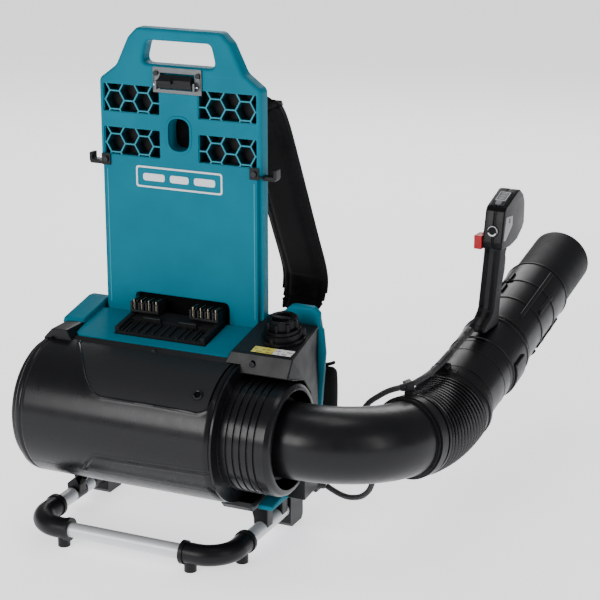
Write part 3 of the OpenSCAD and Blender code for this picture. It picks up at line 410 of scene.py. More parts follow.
def plate(name, outline, low, high, round_edge, material, holes=(), axis="y", place=None, **fit):
    """Flat moulding with rounded edges: an outline, with holes, thick from low to high along axis."""
    curve = bpy.data.curves.new(name, "CURVE")
    curve.dimensions = "2D"
    curve.fill_mode = "BOTH"
    curve.extrude = ((high - low) / 2 - round_edge) * MM
    curve.bevel_depth = round_edge * MM
    curve.bevel_resolution = 4
    curve.offset = -round_edge * MM
    for ring in (outline, *holes):
        spline = curve.splines.new("POLY")
        spline.points.add(len(ring) - 1)
        for point, corner in zip(spline.points, ring):
            point.co = (corner[0] * MM, corner[1] * MM, 0, 1)
        spline.use_cyclic_u = True
    maker = bpy.data.objects.new(name + "_curve", curve)
    scene.collection.objects.link(maker)
    mesh = made_mesh(maker)
    bpy.data.objects.remove(maker)
    bpy.data.curves.remove(curve)
    middle = (low + high) / 2
    mesh.transform((at(middle, 0, 0) if axis == "x" else at(0, middle, 0)) @ SIDE[axis])
    put_in_place(mesh, place, merge=True)
    obj = finish_mesh(name, mesh, material, **fit)
    smooth_by_angle(obj)
    return obj


def smooth_by_angle(obj, degrees=38):
    """Keeps edges sharper than the angle flat-shaded."""
    limit = math.radians(degrees)
    work = bmesh.new()
    work.from_mesh(obj.data)
    for edge in work.edges:
        if len(edge.link_faces) == 2:
            edge.smooth = edge.calc_face_angle(0) < limit
    work.to_mesh(obj.data)
    work.free()


def soften(obj, width, segments=3, degrees=35):
    """Rounded edges on a piece whose shape stays as it is."""
    weld = obj.modifiers.new("weld", "WELD")
    weld.merge_threshold = 0.00001
    bevel = obj.modifiers.new("round_edges", "BEVEL")
    bevel.width = width * MM
    bevel.segments = segments
    bevel.limit_method = "ANGLE"
    bevel.angle_limit = math.radians(degrees)
    normals = obj.modifiers.new("normals", "WEIGHTED_NORMAL")
    normals.keep_sharp = True
    return obj


def cut(obj, *cutters):
    """Takes closed cutter meshes out of a piece."""
    for cutter in cutters:
        step = obj.modifiers.new("cut", "BOOLEAN")
        step.operation = "DIFFERENCE"
        step.solver = "EXACT"
        step.object = cutter
    apply_modifiers(obj)
    for cutter in cutters:
        bpy.data.objects.remove(cutter)
    smooth_by_angle(obj)


def block(name, low, high, edge, material, place=None, **fit):
    """Box between two corners with rounded edges."""
    x, y, z = zip(low, high)
    points = [(x[i], y[j], z[k]) for i in (0, 1) for j in (0, 1) for k in (0, 1)]
    faces = [(0, 1, 3, 2), (4, 6, 7, 5), (0, 4, 5, 1), (2, 3, 7, 6), (0, 2, 6, 4), (1, 5, 7, 3)]
    return soften(from_points(name, points, faces, material, place, **fit), edge)


def prism(name, top, thick, material):
    """Flat piece under an outline of (x, y, z) points, thick downwards."""
    n = len(top)
    points = top + [(x, y, z - thick) for x, y, z in top]
    faces = [tuple(range(n)), tuple(reversed(range(n, 2 * n)))]
    faces += [(k, n + k, n + (k + 1) % n, (k + 1) % n) for k in range(n)]
    return from_points(name, points, faces, material, smooth=False)


def cutter_prism(outline, low, high):
    """Closed straight prism used only to cut with."""
    return plate("cutter", outline, low, high, 0.0, HOLE, body=None)


def cutter_bore(radius, low, high, place, sides=96):
    """Closed cylinder along place's Y axis, used only to cut with."""
    return lathe("cutter", [(0, low), (radius, low), (radius, high), (0, high)], place, HOLE, sides,
                 body=None)


def smooth_path(points, steps=5):
    """Catmull-Rom curve through points."""
    points = [Vector(p) for p in points]
    ends = [points[0] * 2 - points[1]] + points + [points[-1] * 2 - points[-2]]
    out = []
    for i in range(1, len(ends) - 2):
        a, b, c, d = ends[i - 1:i + 3]
        for k in range(steps):
            t = k / steps
            out.append(0.5 * (2 * b + (c - a) * t + (2 * a - 5 * b + 4 * c - d) * t ** 2
                              + (3 * b - a - 3 * c + d) * t ** 3))
    return out + [points[-1]]


def tube_faces(rings, sides, first=0):
    """Faces between closed rings of points that follow one another."""
    return [(first + i * sides + k, first + i * sides + (k + 1) % sides, first + (i + 1) * sides
             + (k + 1) % sides, first + (i + 1) * sides + k) for i in range(rings - 1) for k in range(sides)]


def sweep(name, path, section, material, up=(0, 0, 1), scale=None, **fit):
    """Section of (side, up) points carried along a path without twisting."""
    path = [Vector(p) for p in path]
    n, m = len(path), len(section)
    side = None
    points = []
    for i, place in enumerate(path):
        along = (path[min(i + 1, n - 1)] - path[max(i - 1, 0)]).normalized()
        if side is None:
            side = along.cross(Vector(up)).normalized()
        side = (side - along * side.dot(along)).normalized()
        over = side.cross(along)
        grow = scale(i / (n - 1)) if scale else (1, 1)
        points += [place + side * (a * grow[0]) + over * (b * grow[1]) for a, b in section]
    ends = [tuple(reversed(range(m))), tuple(range((n - 1) * m, n * m))]
    return from_points(name, points, tube_faces(n, m) + ends, material, **fit)


def ring(radius, sides):
    return [(radius * math.cos(2 * math.pi * k / sides), radius * math.sin(2 * math.pi * k / sides))
            for k in range(sides)]


def lathe(name, profile, place, material, sides=96, **fit):
    """Closed profile of (radius, distance along the axis) turned about place's Y axis."""
    n = len(profile)
    points = [(r * x, d, r * y) for x, y in ring(1, sides) for r, d in profile]
    faces = []
    for k in range(sides):
        j = (k + 1) % sides
        for i in range(n):
            i2 = (i + 1) % n
            faces.append((k * n + i, k * n + i2, j * n + i2, j * n + i))
    obj = from_points(name, points, faces, material, place, **fit)
    smooth_by_angle(obj, 50)
    return obj


# ---------------- frames of the air pipe

PIPE_START = Vector(JOINTS["pipe_swivel"]["pos_m"])
PIPE_AXIS = Vector(JOINTS["pipe_swivel"]["axis"]).normalized()
PIPE_UP = Vector(JOINTS["hose_bend"]["axis"]).normalized()
PIPE_UP = (PIPE_UP - PIPE_AXIS * PIPE_UP.dot(PIPE_AXIS)).normalized()
HOSE_PIVOT = Vector(JOINTS["hose_bend"]["pos_m"])
HANDLE_S = 112
HANDLE_DX = 1.5
ELBOW_TURN = math.radians(77)
ELBOW_DROOP = math.radians(6)
HOSE_TURN = math.radians(23)
HOSE_BEND_R = 195
HOSE_DIR = Vector((math.cos(ELBOW_TURN), math.sin(ELBOW_TURN) * math.cos(ELBOW_DROOP),
                   -math.sin(ELBOW_TURN) * math.sin(ELBOW_DROOP)))
HOSE_START = HOSE_PIVOT - HOSE_DIR * (HOSE_BEND_R * MM * math.tan(HOSE_TURN / 2))


def axes(origin, along, up):
    """Matrix whose Y is along, Z is up and X is to the right."""
    right = along.cross(up).normalized()
    m = Matrix((right, along, up)).transposed().to_4x4()
    m.translation = origin
    return m


def facing(origin, along, up):
    """Frame at a point in millimetres, with Y along and Z up."""
    return axes(Vector(origin) * MM, Vector(along).normalized(), Vector(up).normalized())


def on_pipe(s):
    return axes(PIPE_START + PIPE_AXIS * (s * MM), PIPE_AXIS, PIPE_UP)


def on_handle():
    level = Vector((PIPE_AXIS.x, PIPE_AXIS.y, 0)).normalized()
    start = PIPE_START + PIPE_AXIS * (HANDLE_S * MM) + level.cross(UP) * (HANDLE_DX * MM)
    return axes(start, level, UP)


def hose_line(f):
    """Point and direction on the hose's bent centre line, f from 0 to 1, in millimetres."""
    side = (PIPE_AXIS - HOSE_DIR * math.cos(HOSE_TURN)) / math.sin(HOSE_TURN)
    a = f * HOSE_TURN
    place = HOSE_START / MM + HOSE_BEND_R * (math.sin(a) * HOSE_DIR + (1 - math.cos(a)) * side)
    return place, math.cos(a) * HOSE_DIR + math.sin(a) * side


# ---------------- control cable

LOOP_PTS = [(174, 188, 50), (182, 188, 46), (192, 188, 42), (202, 188, 40), (212, 188, 41), (222, 188, 45),
            (231, 188, 55), (235, 188, 70), (232, 189, 90), (226, 190, 112), (220, 191, 132),
            (219, 191, 149), (227, 190, 164), (240, 190, 175), (252, 188, 183.5), (264, 184, 190),
            (274, 178, 195), (282, 173, 198)]
HOSE_PTS = [(287, 177, 201), (291, 186, 203), (294, 198, 204), (296, 210, 205), (297, 221, 206),
            (298, 232, 207), (299, 243, 209)]
WAND_PTS = [(302, 263, 215), (304, 273, 218), (307, 286, 223), (310, 299, 228), (312, 310, 232)]
CABLE_R = 3.5


def cable(name, points, node):
    path = smooth_path(points, 4)
    piece = sweep(name, path, ring(CABLE_R, 14), BRAID, body=None)
    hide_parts(node)
    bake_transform(piece)


def make_cables():
    cable("cable_loop", LOOP_PTS, "control_cable_loop")
    cable("cable_on_hose", HOSE_PTS, "control_cable_hose")
    cable("cable_on_pipe", WAND_PTS, "control_cable_wand")
    for name, points, body in (("sleeve_low", LOOP_PTS[-2:] + HOSE_PTS[:1], "elbow"),
                               ("sleeve_middle", HOSE_PTS[-2:] + WAND_PTS[:1], "hose_end"),
                               ("sleeve_high", WAND_PTS[-2:], "wand")):
        sweep(name, smooth_path(points, 4), ring(CABLE_R + 0.9, 14), RUBBER, body=body)
    clip = facing((285, 175.6, 196), (0.75, 0.6, 0.3), (-0.25, -0.16, 0.95))
    block("cable_clip", (-6.5, -5, -5), (6.5, 5, 10), 1.6, BLACK, clip, body="elbow")


make_camera()
make_light()
make_floor()
make_cables()


# ---------------- tower and deck

TOWER_HALF = [(106.5, 246, 8), (106.5, 537, 9), (83.5, 554, 18), (67, 588, 10), (55, 600, 8)]
SLOT_HALF = [(49, 558, 8), (42, 586, 8)]
WING_HALF = [(130, 60, 4), (144, 60, 9), (158, 90, 20), (177, 160, 24), (182, 228, 20), (179, 257, 4),
             (175.5, 260, 2), (175, 277, 4), (167, 284, 5), (140, 284, 9), (128, 274, 9), (108, 266, 9)]
LEFT_WING = [(-108, 262, 9), (-137, 262, 9), (-168, 224, 20), (-174, 160, 24), (-158, 90, 20), (-144, 60, 9),
             (-130, 60, 4)]
WINDOW_X = (25.5, 101)
WINDOW_Z = ((446, 480), (498, 532))
CELL_R, CELL_PITCH_X, CELL_PITCH_Z = 11.8, 19.125, 22.083
DECK_TILT = math.radians(10.2)
DECK = at(0, 75, 240) @ Matrix.Rotation(DECK_TILT, 4, "X")


def mirrored(half):
    return half + [(-x, *rest) for x, *rest in reversed(half)]


def rectangle(x0, x1, y0, y1, radius=0.0):
    return fillet([(x0, y0, radius), (x1, y0, radius), (x1, y1, radius), (x0, y1, radius)], 5)


OVAL = rectangle(-14, 14, 457.5, 496.5, 13.5)
BAY = rectangle(-64, 64, 238, 279, 8)
TOWER_AHEAD = 140


def clipped(points, x0, x1, y0, y1):
    """Convex outline cut to a rectangle."""
    for axis, limit, keep in ((0, x0, 1), (0, x1, -1), (1, y0, 1), (1, y1, -1)):
        out = []
        for i, here in enumerate(points):
            before = points[i - 1]
            inside = (here[axis] - limit) * keep >= 0
            if inside != ((before[axis] - limit) * keep >= 0):
                t = (limit - before[axis]) / (here[axis] - before[axis])
                out.append(tuple(before[k] + t * (here[k] - before[k]) for k in (0, 1)))
            if inside:
                out.append(here)
        points = out
    return points


def outline_area(points):
    return abs(sum(points[i - 1][0] * p[1] - p[0] * points[i - 1][1] for i, p in enumerate(points))) / 2


def honeycomb(side, low, high):
    """Lattice of thin walls that fills one window, with painted highlight in a lighter teal on its front
    edges and painted shade in a darker teal on its walls.
    """
    x0, x1 = sorted((side * WINDOW_X[0], side * WINDOW_X[1]))
    cells = []
    for i in range(6):
        for j in range(-1, 3):
            cx = side * (WINDOW_X[0] + 9 + (i - 0.3) * CELL_PITCH_X)
            cz = low + 3 + (j + i % 2 * 0.5) * CELL_PITCH_Z
            corners = [(cx + CELL_R * math.cos(math.radians(60 * k)),
                        cz + CELL_R * math.sin(math.radians(60 * k))) for k in range(6)]
            cell = clipped(corners, x0 + 0.6, x1 - 0.6, low + 0.6, high - 0.6)
            if len(cell) > 2 and outline_area(cell) > 12:
                cells.append(cell)
    outline = rectangle(x0, x1, low, high)
    plate("honeycomb_edges", outline, 151.6, 152.8, 0.0, LIT_TEAL, holes=cells)
    plate("honeycomb_walls", outline, 152.8, 168.8, 0.0, SHADED_TEAL, holes=cells)


def make_tower():
    shell = plate("tower_shell", fillet(mirrored(TOWER_HALF), 8), 150, 172, 4.5, TEAL,
                  holes=[fillet(mirrored(SLOT_HALF), 6)])
    pockets = [(rectangle(s * WINDOW_X[0], s * WINDOW_X[1], low, high, 2.5), 169) for s in (-1, 1) for low,
               high in WINDOW_Z]
    pockets += [(OVAL, 170.5), (BAY, 162), (rectangle(-23, 23, 534, 550, 3), 156)]
    pockets += [([(s * 101, 240), (s * 112, 240), (s * 112, 440.5), (s * 101, 433.5)], 156) for s in (-1, 1)]
    cut(shell, *(cutter_prism(outline, TOWER_AHEAD, depth) for outline, depth in pockets))
    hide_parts("backplate")
    for s in (-1, 1):
        for low, high in WINDOW_Z:
            honeycomb(s, low, high)
            x0, x1 = sorted((s * WINDOW_X[0], s * WINDOW_X[1]))
            plate("window_back", rectangle(x0 - 1, x1 + 1, low - 1, high + 1), 168.2, 169.6, 0.0, MATT)
    plate("oval_back", rectangle(-14.5, 14.5, 457, 497, 14), 169.6, 171.4, 0.0, HOLE)
    plate("oval_rim", rectangle(-17, 17, 454.5, 499.5, 16.5), 149.2, 153, 0.7, TEAL, holes=[OVAL])
    plate("bay_back", rectangle(-64.5, 64.5, 246, 279.5, 8), 160.6, 162.4, 0.0, HOLE)
    plate("badge_frame", rectangle(-58.5, 56.5, 410, 436, 4), 149.4, 150.6, 0.25, WHITE,
          holes=[rectangle(-56.3, 54.3, 412.2, 433.8, 2.8)])
    for start, end in ((-49, -20), (-13, 12), (19, 47)):
        plate("badge_bar", rectangle(start, end, 418.5, 427.5, 3.5), 149.5, 150.6, 0.2, WHITE)
    wings = plate("wing_plate", fillet(WING_HALF + LEFT_WING, 6), 160, 172.5, 4.0, TEAL)
    cut(wings, cutter_prism(BAY, TOWER_AHEAD, 162))
    plate("left_rail",
          fillet([(97, 244, 3), (101, 250.5, 5), (163, 263, 6), (168, 258, 4), (168, 240, 4), (112, 240, 4)],
                 5), -137, -109, 2.5, TEAL, axis="x")
    plate("lower_rail", fillet([(68, 60, 2), (68, 65.5, 2), (100, 70.5, 10), (166, 75, 4), (166, 60, 4)], 5),
          139, 158, 2.0, TEAL, axis="x")
    plate("wing_rib", rectangle(128, 152, 150, 268, 8), 151, 162, 3, TEAL)
    for s in (-1, 1):
        # Thin strips in the lighter teal copy: painted highlight along the tower's grooves.
        plate("tower_groove_highlight", rectangle(s * 97, s * 98.2, 262, 428), 149.7, 150.2, 0.0, LIT_TEAL)


RIB_PITCH, FIN_PITCH = 10.4, 5.4


def make_seat():
    """Ribs, rails and spring tongues of the power pack's seat, lying on the deck."""
    for i in (-5, -4, -3, -2, -1, 1, 2, 3, 4, 5):
        x = i * RIB_PITCH
        block("seat_rib", (x - 1.1, 19, 2.4), (x + 1.1, 44, 5.2), 0.5, MATT, DECK)
    for s in (-1, 1):
        for i in range(7):
            x = s * 40 + (i - 3) * FIN_PITCH
            block("terminal_fin", (x - 0.9, 130, 271.4), (x + 0.9, 147.6, 274.6), 0.4, BLACK)
    for s in (-1, 1):
        block("seat_rail", (s * 57 - 3, 17, 0.2), (s * 57 + 3, 70, 8.5), 1.2, MATT, DECK)
        block("seat_stop", (s * 24 - 12, 44, 2.6), (s * 24 + 12, 49, 11), 1.2, BLACK, DECK)


# ---------------- drum

DRUM_Y, DRUM_Z, DRUM_R, RIM_R = 72, 152, 84, 78
STAND_X, STAND_Z, TUBE_R = 129, 22, 9.15
DRUM_X = (-142, 118.6)
STEPS_X = 170
PANEL = [(-97, -6), (-91, 8), (-77.8, 20.6), (-55.4, 44.4), (-46, 52), (-40, 55.7), (-29, 58.3), (30, 57.8),
         (98, 58.6), (108, 55), (111, 46), (111, -6)]
LOWER_LINE = [(-56, 128), (-52.6, 123), (-40, 112), (-33.8, 109.4), (33, 107.9), (114, 106.3)]
SPLIT_ANGLE = 128.2
DRUM_AXIS = at(0, DRUM_Y, DRUM_Z) @ Matrix.Rotation(-math.pi / 2, 4, "Z")


def line_distance(x, y, points, closed=False):
    best = 1e9
    for i in range(0 if closed else 1, len(points)):
        ax, ay = points[i - 1]
        bx, by = points[i]
        dx, dy = bx - ax, by - ay
        t = max(0.0, min(1.0, ((x - ax) * dx + (y - ay) * dy) / (dx * dx + dy * dy)))
        best = min(best, math.hypot(x - ax - t * dx, y - ay - t * dy))
    return best


def inside(x, y, points):
    hit = False
    for i, (bx, by) in enumerate(points):
        ax, ay = points[i - 1]
        if (ay > y) != (by > y) and x < (bx - ax) * (y - ay) / (by - ay) + ax:
            hit = not hit
    return hit


def ease(t):
    t = max(0.0, min(1.0, t))
    return t * t * (3 - 2 * t)


def drum_radius(x, angle, panel, lower):
    """Radius of the housing: round ends, a sunk panel with a rolled edge and a groove below it."""
    r = DRUM_R
    for end, size in ((x - DRUM_X[0], 7.0), (DRUM_X[1] - x, 11.0)):
        if end < size:
            r -= size - math.sqrt(max(0.0, size * size - (size - end) ** 2))
    arc = math.radians(angle) * DRUM_R
    d = line_distance(x, arc, panel, True)
    if inside(x, arc, panel):
        r -= 2.4 * ease(d / 3.0)
    r += 0.9 * math.exp(-(d / 1.7) ** 2)
    g = line_distance(x, arc, lower)
    r += 0.5 * math.exp(-((g - 3.0) / 1.4) ** 2) - 1.1 * math.exp(-(g / 1.3) ** 2)
    r -= 1.6 * math.exp(-((x + 131.5) / 1.0) ** 4)
    return r


def on_drum(x, angle, r):
    a = math.radians(angle)
    return x, DRUM_Y - r * math.sin(a), DRUM_Z + r * math.cos(a)


def drum_shell(name, first, last, node):
    """Part of the housing between two angles, measured from the top towards the front."""
    panel = [(x, math.radians(a) * DRUM_R) for x, a in PANEL]
    lower = [(x, math.radians(a) * DRUM_R) for x, a in LOWER_LINE]
    left, right = DRUM_X
    xs = [left + (right - left) * k / STEPS_X for k in range(STEPS_X + 1)]
    xs = sorted(xs + [left + d for d in (0.15, 0.5, 0.9)] + [right - d for d in (0.1, 0.4, 0.8)])
    steps_a = int((last - first) / 0.85)
    angles = [first + (last - first) * k / steps_a for k in range(steps_a + 1)]
    points = [on_drum(x, a, drum_radius(x, a, panel, lower)) for x in xs for a in angles]
    n = len(angles)
    outer = len(points)
    points += [on_drum(x, a, RIM_R) for x in (xs[0], xs[-1]) for a in angles]
    faces = [(i * n + k, i * n + k + 1, (i + 1) * n + k + 1, (i + 1) * n + k) for i in range(len(xs) - 1)
             for k in range(n - 1)]
    end = (len(xs) - 1) * n
    for k in range(n - 1):
        faces.append((k, outer + k, outer + k + 1, k + 1))
        faces.append((end + k, end + k + 1, outer + n + k + 1, outer + n + k))
    piece = from_points(name, points, faces, DRUM)
    smooth_by_angle(piece, 50)
    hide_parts(node)


def make_drum():
    drum_shell("drum_upper", -128.2, SPLIT_ANGLE - 0.25, "drum_upper_cover")
    drum_shell("drum_lower", SPLIT_ANGLE + 0.25, 360 - 128.5, "drum_lower_cover")
    lathe("drum_split_seal", [(82.6, -139), (83.2, -139), (83.2, 107), (82.6, 107)], DRUM_AXIS, MATT)
    plate("drum_bridge", [(66, 225), (66, 234.4), (73.4, 239.3), (74.7, 238.6), (75.6, 233.4), (149, 246.4),
                          (149, 160), (130, 190), (80, 225)], -104, 102.4, 0.8, BLACK, axis="x")
    plate("corner_tab",
          fillet([(-141, 212, 4), (-142, 235, 3), (-131, 247, 3), (-110, 248, 3), (-99, 227, 3),
                  (-98, 212, 4)], 4), 63, 112, 1.4, BLACK)
    turns = [math.radians(d) for d in range(72, -13, -6)]
    under = [(DRUM_Y + 82.4 * math.sin(a), DRUM_Z - 82.4 * math.cos(a)) for a in turns]
    plate("keel_end", under + [(54, 66), (60, 59.4), (158, 59.4)], 98, 137, 1.0, BLACK, axis="x")
    for s in (-1, 1):
        for y in (104, 146):
            x = s * STAND_X
            outline = [(x - 9, 23), (x + 9, 23), (x + 9, 34), (x + s * 6 + 3, 59), (x + s * -18 + 2, 59),
                       (x - 9.5, 34)]
            saddle = plate("stand_saddle", fillet([(a, b, 1.6) for a, b in outline], 4), y - 8, y + 8, 1.2,
                           BLACK)
            cut(saddle, cutter_bore(TUBE_R, -12, 12, at(x, y, STAND_Z), 32))
    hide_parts("stand_saddles")
    plate("keel", fillet([(84, 60, 4), (158, 60, 4), (158, 100, 4), (130, 120, 4), (84, 90, 4)], 5), -142.5,
          100, 2.5, BLACK, axis="x")
    rim = [(4.1, 0.4), (4.1, -0.5), (4.6, -0.7), (5.4, -0.4), (5.8, 0.4)]
    for x, y, z in ((-128, 63, 234), (6, 66, 230.6)):
        hole = at(x, y, z)
        lathe("screw_hole", [(0, -0.25), (4.2, -0.25), (4.2, 0.2), (0, 0.2)], hole, HOLE, 32)
        lathe("screw_hole_rim", rim, hole, MATT, 32)
    for i in range(5):
        a = math.radians(133 + i * 2.0)
        place = at(0, DRUM_Y, DRUM_Z) @ Matrix.Rotation(math.pi - a, 4, "X")
        block("louvre", (14, -1.0, -85.2), (62, 1.0, -83), 0.6, BLACK, place)
    boss = facing((91.5, 13.4, 212.2), (0, -0.70, 0.71), (0, 0.71, 0.70))
    dome = [(3.6, -0.6), (4.0, 1.8), (4.8, 2.2), (5.6, 1.4), (6.2, -3), (3.6, -3)]
    lathe("screw_boss", dome, boss, DRUM, 32)
    lathe("boss_hole", [(0, 0.3), (3.7, 0.3), (3.7, -0.6), (0, -0.6)], boss, HOLE, 32)


# ---------------- flexible hose

HOSE_RIBS = 12


def make_hose():
    steps, sides = 240, 96
    points = []
    for i in range(steps + 1):
        f = i / steps
        place, along = hose_line(f)
        right = along.cross(UP).normalized()
        over = right.cross(along)
        wave = 0.5 + 0.5 * math.cos(2 * math.pi * (f * HOSE_RIBS + 0.5))
        radius = 43.4 + 6.2 * wave ** 0.8
        points += [place + right * x + over * y for x, y in ring(radius, sides)]
    hose = from_points("ribbed_hose", points, tube_faces(steps + 1, sides), HOSE, body=None)
    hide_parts("flexible_hose")
    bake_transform(hose)


# ---------------- handle

GRIP = [(-34, 47, 5), (-32, 56, 6), (-17, 62, 8), (-6, 70, 12), (8, 138, 10), (9, 150, 6), (40, 150, 6),
        (30, 136, 14), (15, 72, 14), (14, 62, 4), (13, 47, 2)]
HEAD = [(7.5, 143, 3), (8, 152, 4), (16, 190, 2), (20, 195, 1.5), (58, 209, 3), (66, 208, 3), (77, 200, 4),
        (82, 190, 4), (82, 163, 4), (76, 156, 4), (60, 146, 8), (38, 142, 6)]
SIDE_BADGE = [(19.9, 182.7, 2), (40.6, 180.6, 2), (40.1, 167.9, 3), (18.5, 152.9, 3), (12.7, 154.3, 2)]
BUTTON_TILT = math.radians(13)
SCREW_HEAD = [(0, -0.2), (1.4, -0.2), (1.4, 0.4), (2.8, 0.4), (3.1, 0.1), (3.1, -1), (0, -1)]


def slope_frame(y, z, dy, dz):
    """Frame in the handle's middle at (y, z), with Y up the slope (dy, dz) and Z out of it."""
    return on_handle() @ facing((0, y, z), (0, dy, dz), (0, -dz, dy))


def make_handle():
    place = on_handle()
    upright = {"axis": "x", "place": place, "body": "wand"}
    for name, low, high in (("handle_left", -10.8, -0.15), ("handle_right", 0.15, 10.8)):
        piece = plate(name, fillet(GRIP, 6), low, high, 2.6, MATT, **upright)
        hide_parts("handle_shell_left" if high < 0 else "handle_shell_right")
    plate("grip_core", fillet(GRIP, 6), -8.4, 8.4, 0.0, MATT, **upright)
    for low, high in ((-13, -0.15), (0.15, 13)):
        plate("handle_head", fillet(HEAD, 6), low, high, 1.8, GLOSS, **upright)
    core = [(y * 0.96 + 1.7, z * 0.96 + 7, r) for y, z, r in HEAD]
    plate("head_core", fillet(core, 6), -9, 9, 0.0, BLACK, **upright)
    for low, high in ((12.6, 13.6), (-13.6, -12.6)):
        plate("side_badge", fillet(SIDE_BADGE, 4), low, high, 0.4, PALE, **upright)
    for s in (-1, 1):
        for name, x, y, z in (("head_screw", 13.3, 30.8, 176), ("grip_screw", 10.6, 10, 92)):
            screw = place @ at(s * x, y, z) @ Matrix.Rotation(-s * math.pi / 2, 4, "Z")
            lathe(name, SCREW_HEAD, screw, DARK_STEEL, 28, body="wand")
    glass = slope_frame(36.8, 202.1, 31.2, 11.0)
    block("display_field", (-6.0, -5.4, -0.6), (6.0, 12.6, 0.3), 0.2, GREY, glass, body="wand")
    for x0, y0, x1, y1 in ((-6.8, -6.2, 6.8, -5.2), (-6.8, 12.4, 6.8, 13.4), (-6.8, -6.2, -5.8, 13.4),
                           (5.8, -6.2, 6.8, 13.4)):
        block("display_frame", (x0, y0, -0.6), (x1, y1, 0.8), 0.2, SILVER, glass, body="wand")
    for k in range(3):
        block("display_mark", (-3.4, -2.6 + k * 5.2, -0.2), (3.4, 0.4 + k * 5.2, 0.6), 0.2, PALE, glass,
              body="wand", slot="display_plastic")
    button = slope_frame(9.6, 166, math.sin(BUTTON_TILT), math.cos(BUTTON_TILT))
    button = button @ Matrix.Rotation(-math.pi / 2, 4, "X")
    lathe("power_ring", [(4.6, -2.4), (6.2, -2.4), (6.2, 0.5), (5.8, 0.9), (5.0, 0.9), (4.6, 0.5)], button,
          WHITE, 48, body="wand")


SLEEVE_R = 42.6


def on_sleeve(s, turn):
    """Frame on the sleeve's skin: Y along the pipe, Z out of it, turned round the pipe from its top."""
    return on_pipe(s) @ Matrix.Rotation(math.radians(turn), 4, "Y") @ at(0, 0, SLEEVE_R)


def make_sleeve_trim():
    """Rails, stepped length stops and seams of the nozzle's sleeve."""
    for turn, low, high, wide, tall in ((38, 174, 282, 5, 3.0), (62, 206, 250, 3, 2.0),
            (-142, 174, 282, 5, 2.6), (118, 190, 262, 3, 2.0)):
        block("sleeve_rail", (-wide / 2, low - 228, -1), (wide / 2, high - 228, tall), 0.7, PIPE,
              on_sleeve(228, turn), body="nozzle")
    for side in (-38, 142):
        for i in range(3):
            s = 188 + 27 * i
            for k in range(5):
                block("length_stop", (-2.6, -2.0, -1), (2.6, 2.0, 2.4 - 0.2 * k), 0.7, GLOSS,
                      on_sleeve(s + (k % 2) * 2.5 - 2 + i, side - 17 + 7.5 * k), body="nozzle")
            block("stop_bar", (-1.8, -9, -1), (1.8, 9, 3.0), 0.8, GLOSS, on_sleeve(s + 7 + i, side + 17),
                  body="nozzle")
    for s in (153.5, 200, 243, 288.5):
        lathe("sleeve_seam", [(42.0, -1.3), (43.2, -1.3), (43.6, -0.6), (43.6, 0.6), (43.2, 1.3),
                              (42.0, 1.3)], on_pipe(s), PIPE, body="nozzle")
    for s in (70, 90):
        lathe("pipe_seam", [(43.4, -0.8), (44.5, -0.8), (44.7, 0), (44.5, 0.8), (43.4, 0.8)], on_pipe(s),
              PIPE, body="wand")


# ---------------- padding and webbing

PAD_SIDES, PAD_POWER = 36, 3.0


def puff(obj, voxel, cap, held):
    """Stuffs a closed pad with cloth pressure; moves are capped and kept out of the held axes."""
    remesh = obj.modifiers.new("remesh", "REMESH")
    remesh.mode = "VOXEL"
    remesh.voxel_size = voxel * MM
    apply_modifiers(obj)
    before = [v.co.copy() for v in obj.data.vertices]
    cloth = obj.modifiers.new("cloth", "CLOTH")
    cloth.settings.use_pressure = True
    cloth.settings.uniform_pressure_force = 4
    cloth.settings.effector_weights.gravity = 0
    for step in range(1, 21):
        scene.frame_set(step)
    apply_modifiers(obj)
    scene.frame_set(1)
    for vertex, start in zip(obj.data.vertices, before):
        move = vertex.co - start
        for axis in held:
            move[axis] = 0
        if move.length > cap * MM:
            move = move.normalized() * cap * MM
        vertex.co = start + move
    smooth = obj.modifiers.new("relax", "SMOOTH")
    smooth.iterations = 3
    smooth.factor = 0.4
    divide = obj.modifiers.new("divide", "SUBSURF")
    divide.levels = 1
    divide.render_levels = 1
    apply_modifiers(obj)


def sew(obj, seam, depth, width):
    """Presses seams into a pad: seam(point) is the distance in mm to the nearest one."""
    vertices = obj.data.vertices
    moves = [v.normal * (-depth * MM * math.exp(-(seam(v.co / MM) / width) ** 2)) for v in vertices]
    for vertex, move in zip(vertices, moves):
        vertex.co += move


def pad_section(thick, width):
    """Superellipse between an oval and a rectangle."""
    return [tuple(size / 2 * math.copysign(abs(c) ** (2 / PAD_POWER), c) for size,
                  c in zip((thick, width), point)) for point in ring(1, PAD_SIDES)]


def stitches(name, path):
    """A row of short thread dashes along a path."""
    step, dash, radius = 5.0, 3.2, 0.45
    points, faces = [], []
    path = [Vector(p) for p in path]
    travelled, place = 0.0, []
    for a, b in zip(path, path[1:]):
        length = (b - a).length
        while length > 0 and (len(place) * step) < travelled + length:
            t = (len(place) * step - travelled) / length
            place.append((a.lerp(b, t), (b - a).normalized()))
        travelled += length
    for here, along in place:
        side = along.orthogonal().normalized()
        over = along.cross(side)
        base = len(points)
        for end, size in ((-0.5, 0.4), (-0.3, 1.0), (0.3, 1.0), (0.5, 0.4)):
            points += [here + along * (dash * end) + side * x + over * y for x, y in ring(radius * size, 6)]
        faces += tube_faces(4, 6, base)
    from_points(name, points, faces, THREAD)


def band_section(thick, width):
    """Rectangle with cut corners."""
    a, b, edge = thick / 2, width / 2, 0.6
    half = [(a, b - edge), (a - edge * 0.7, b), (edge * 0.7 - a, b), (-a, b - edge)]
    return half + [(x, -y) for x, y in reversed(half)]


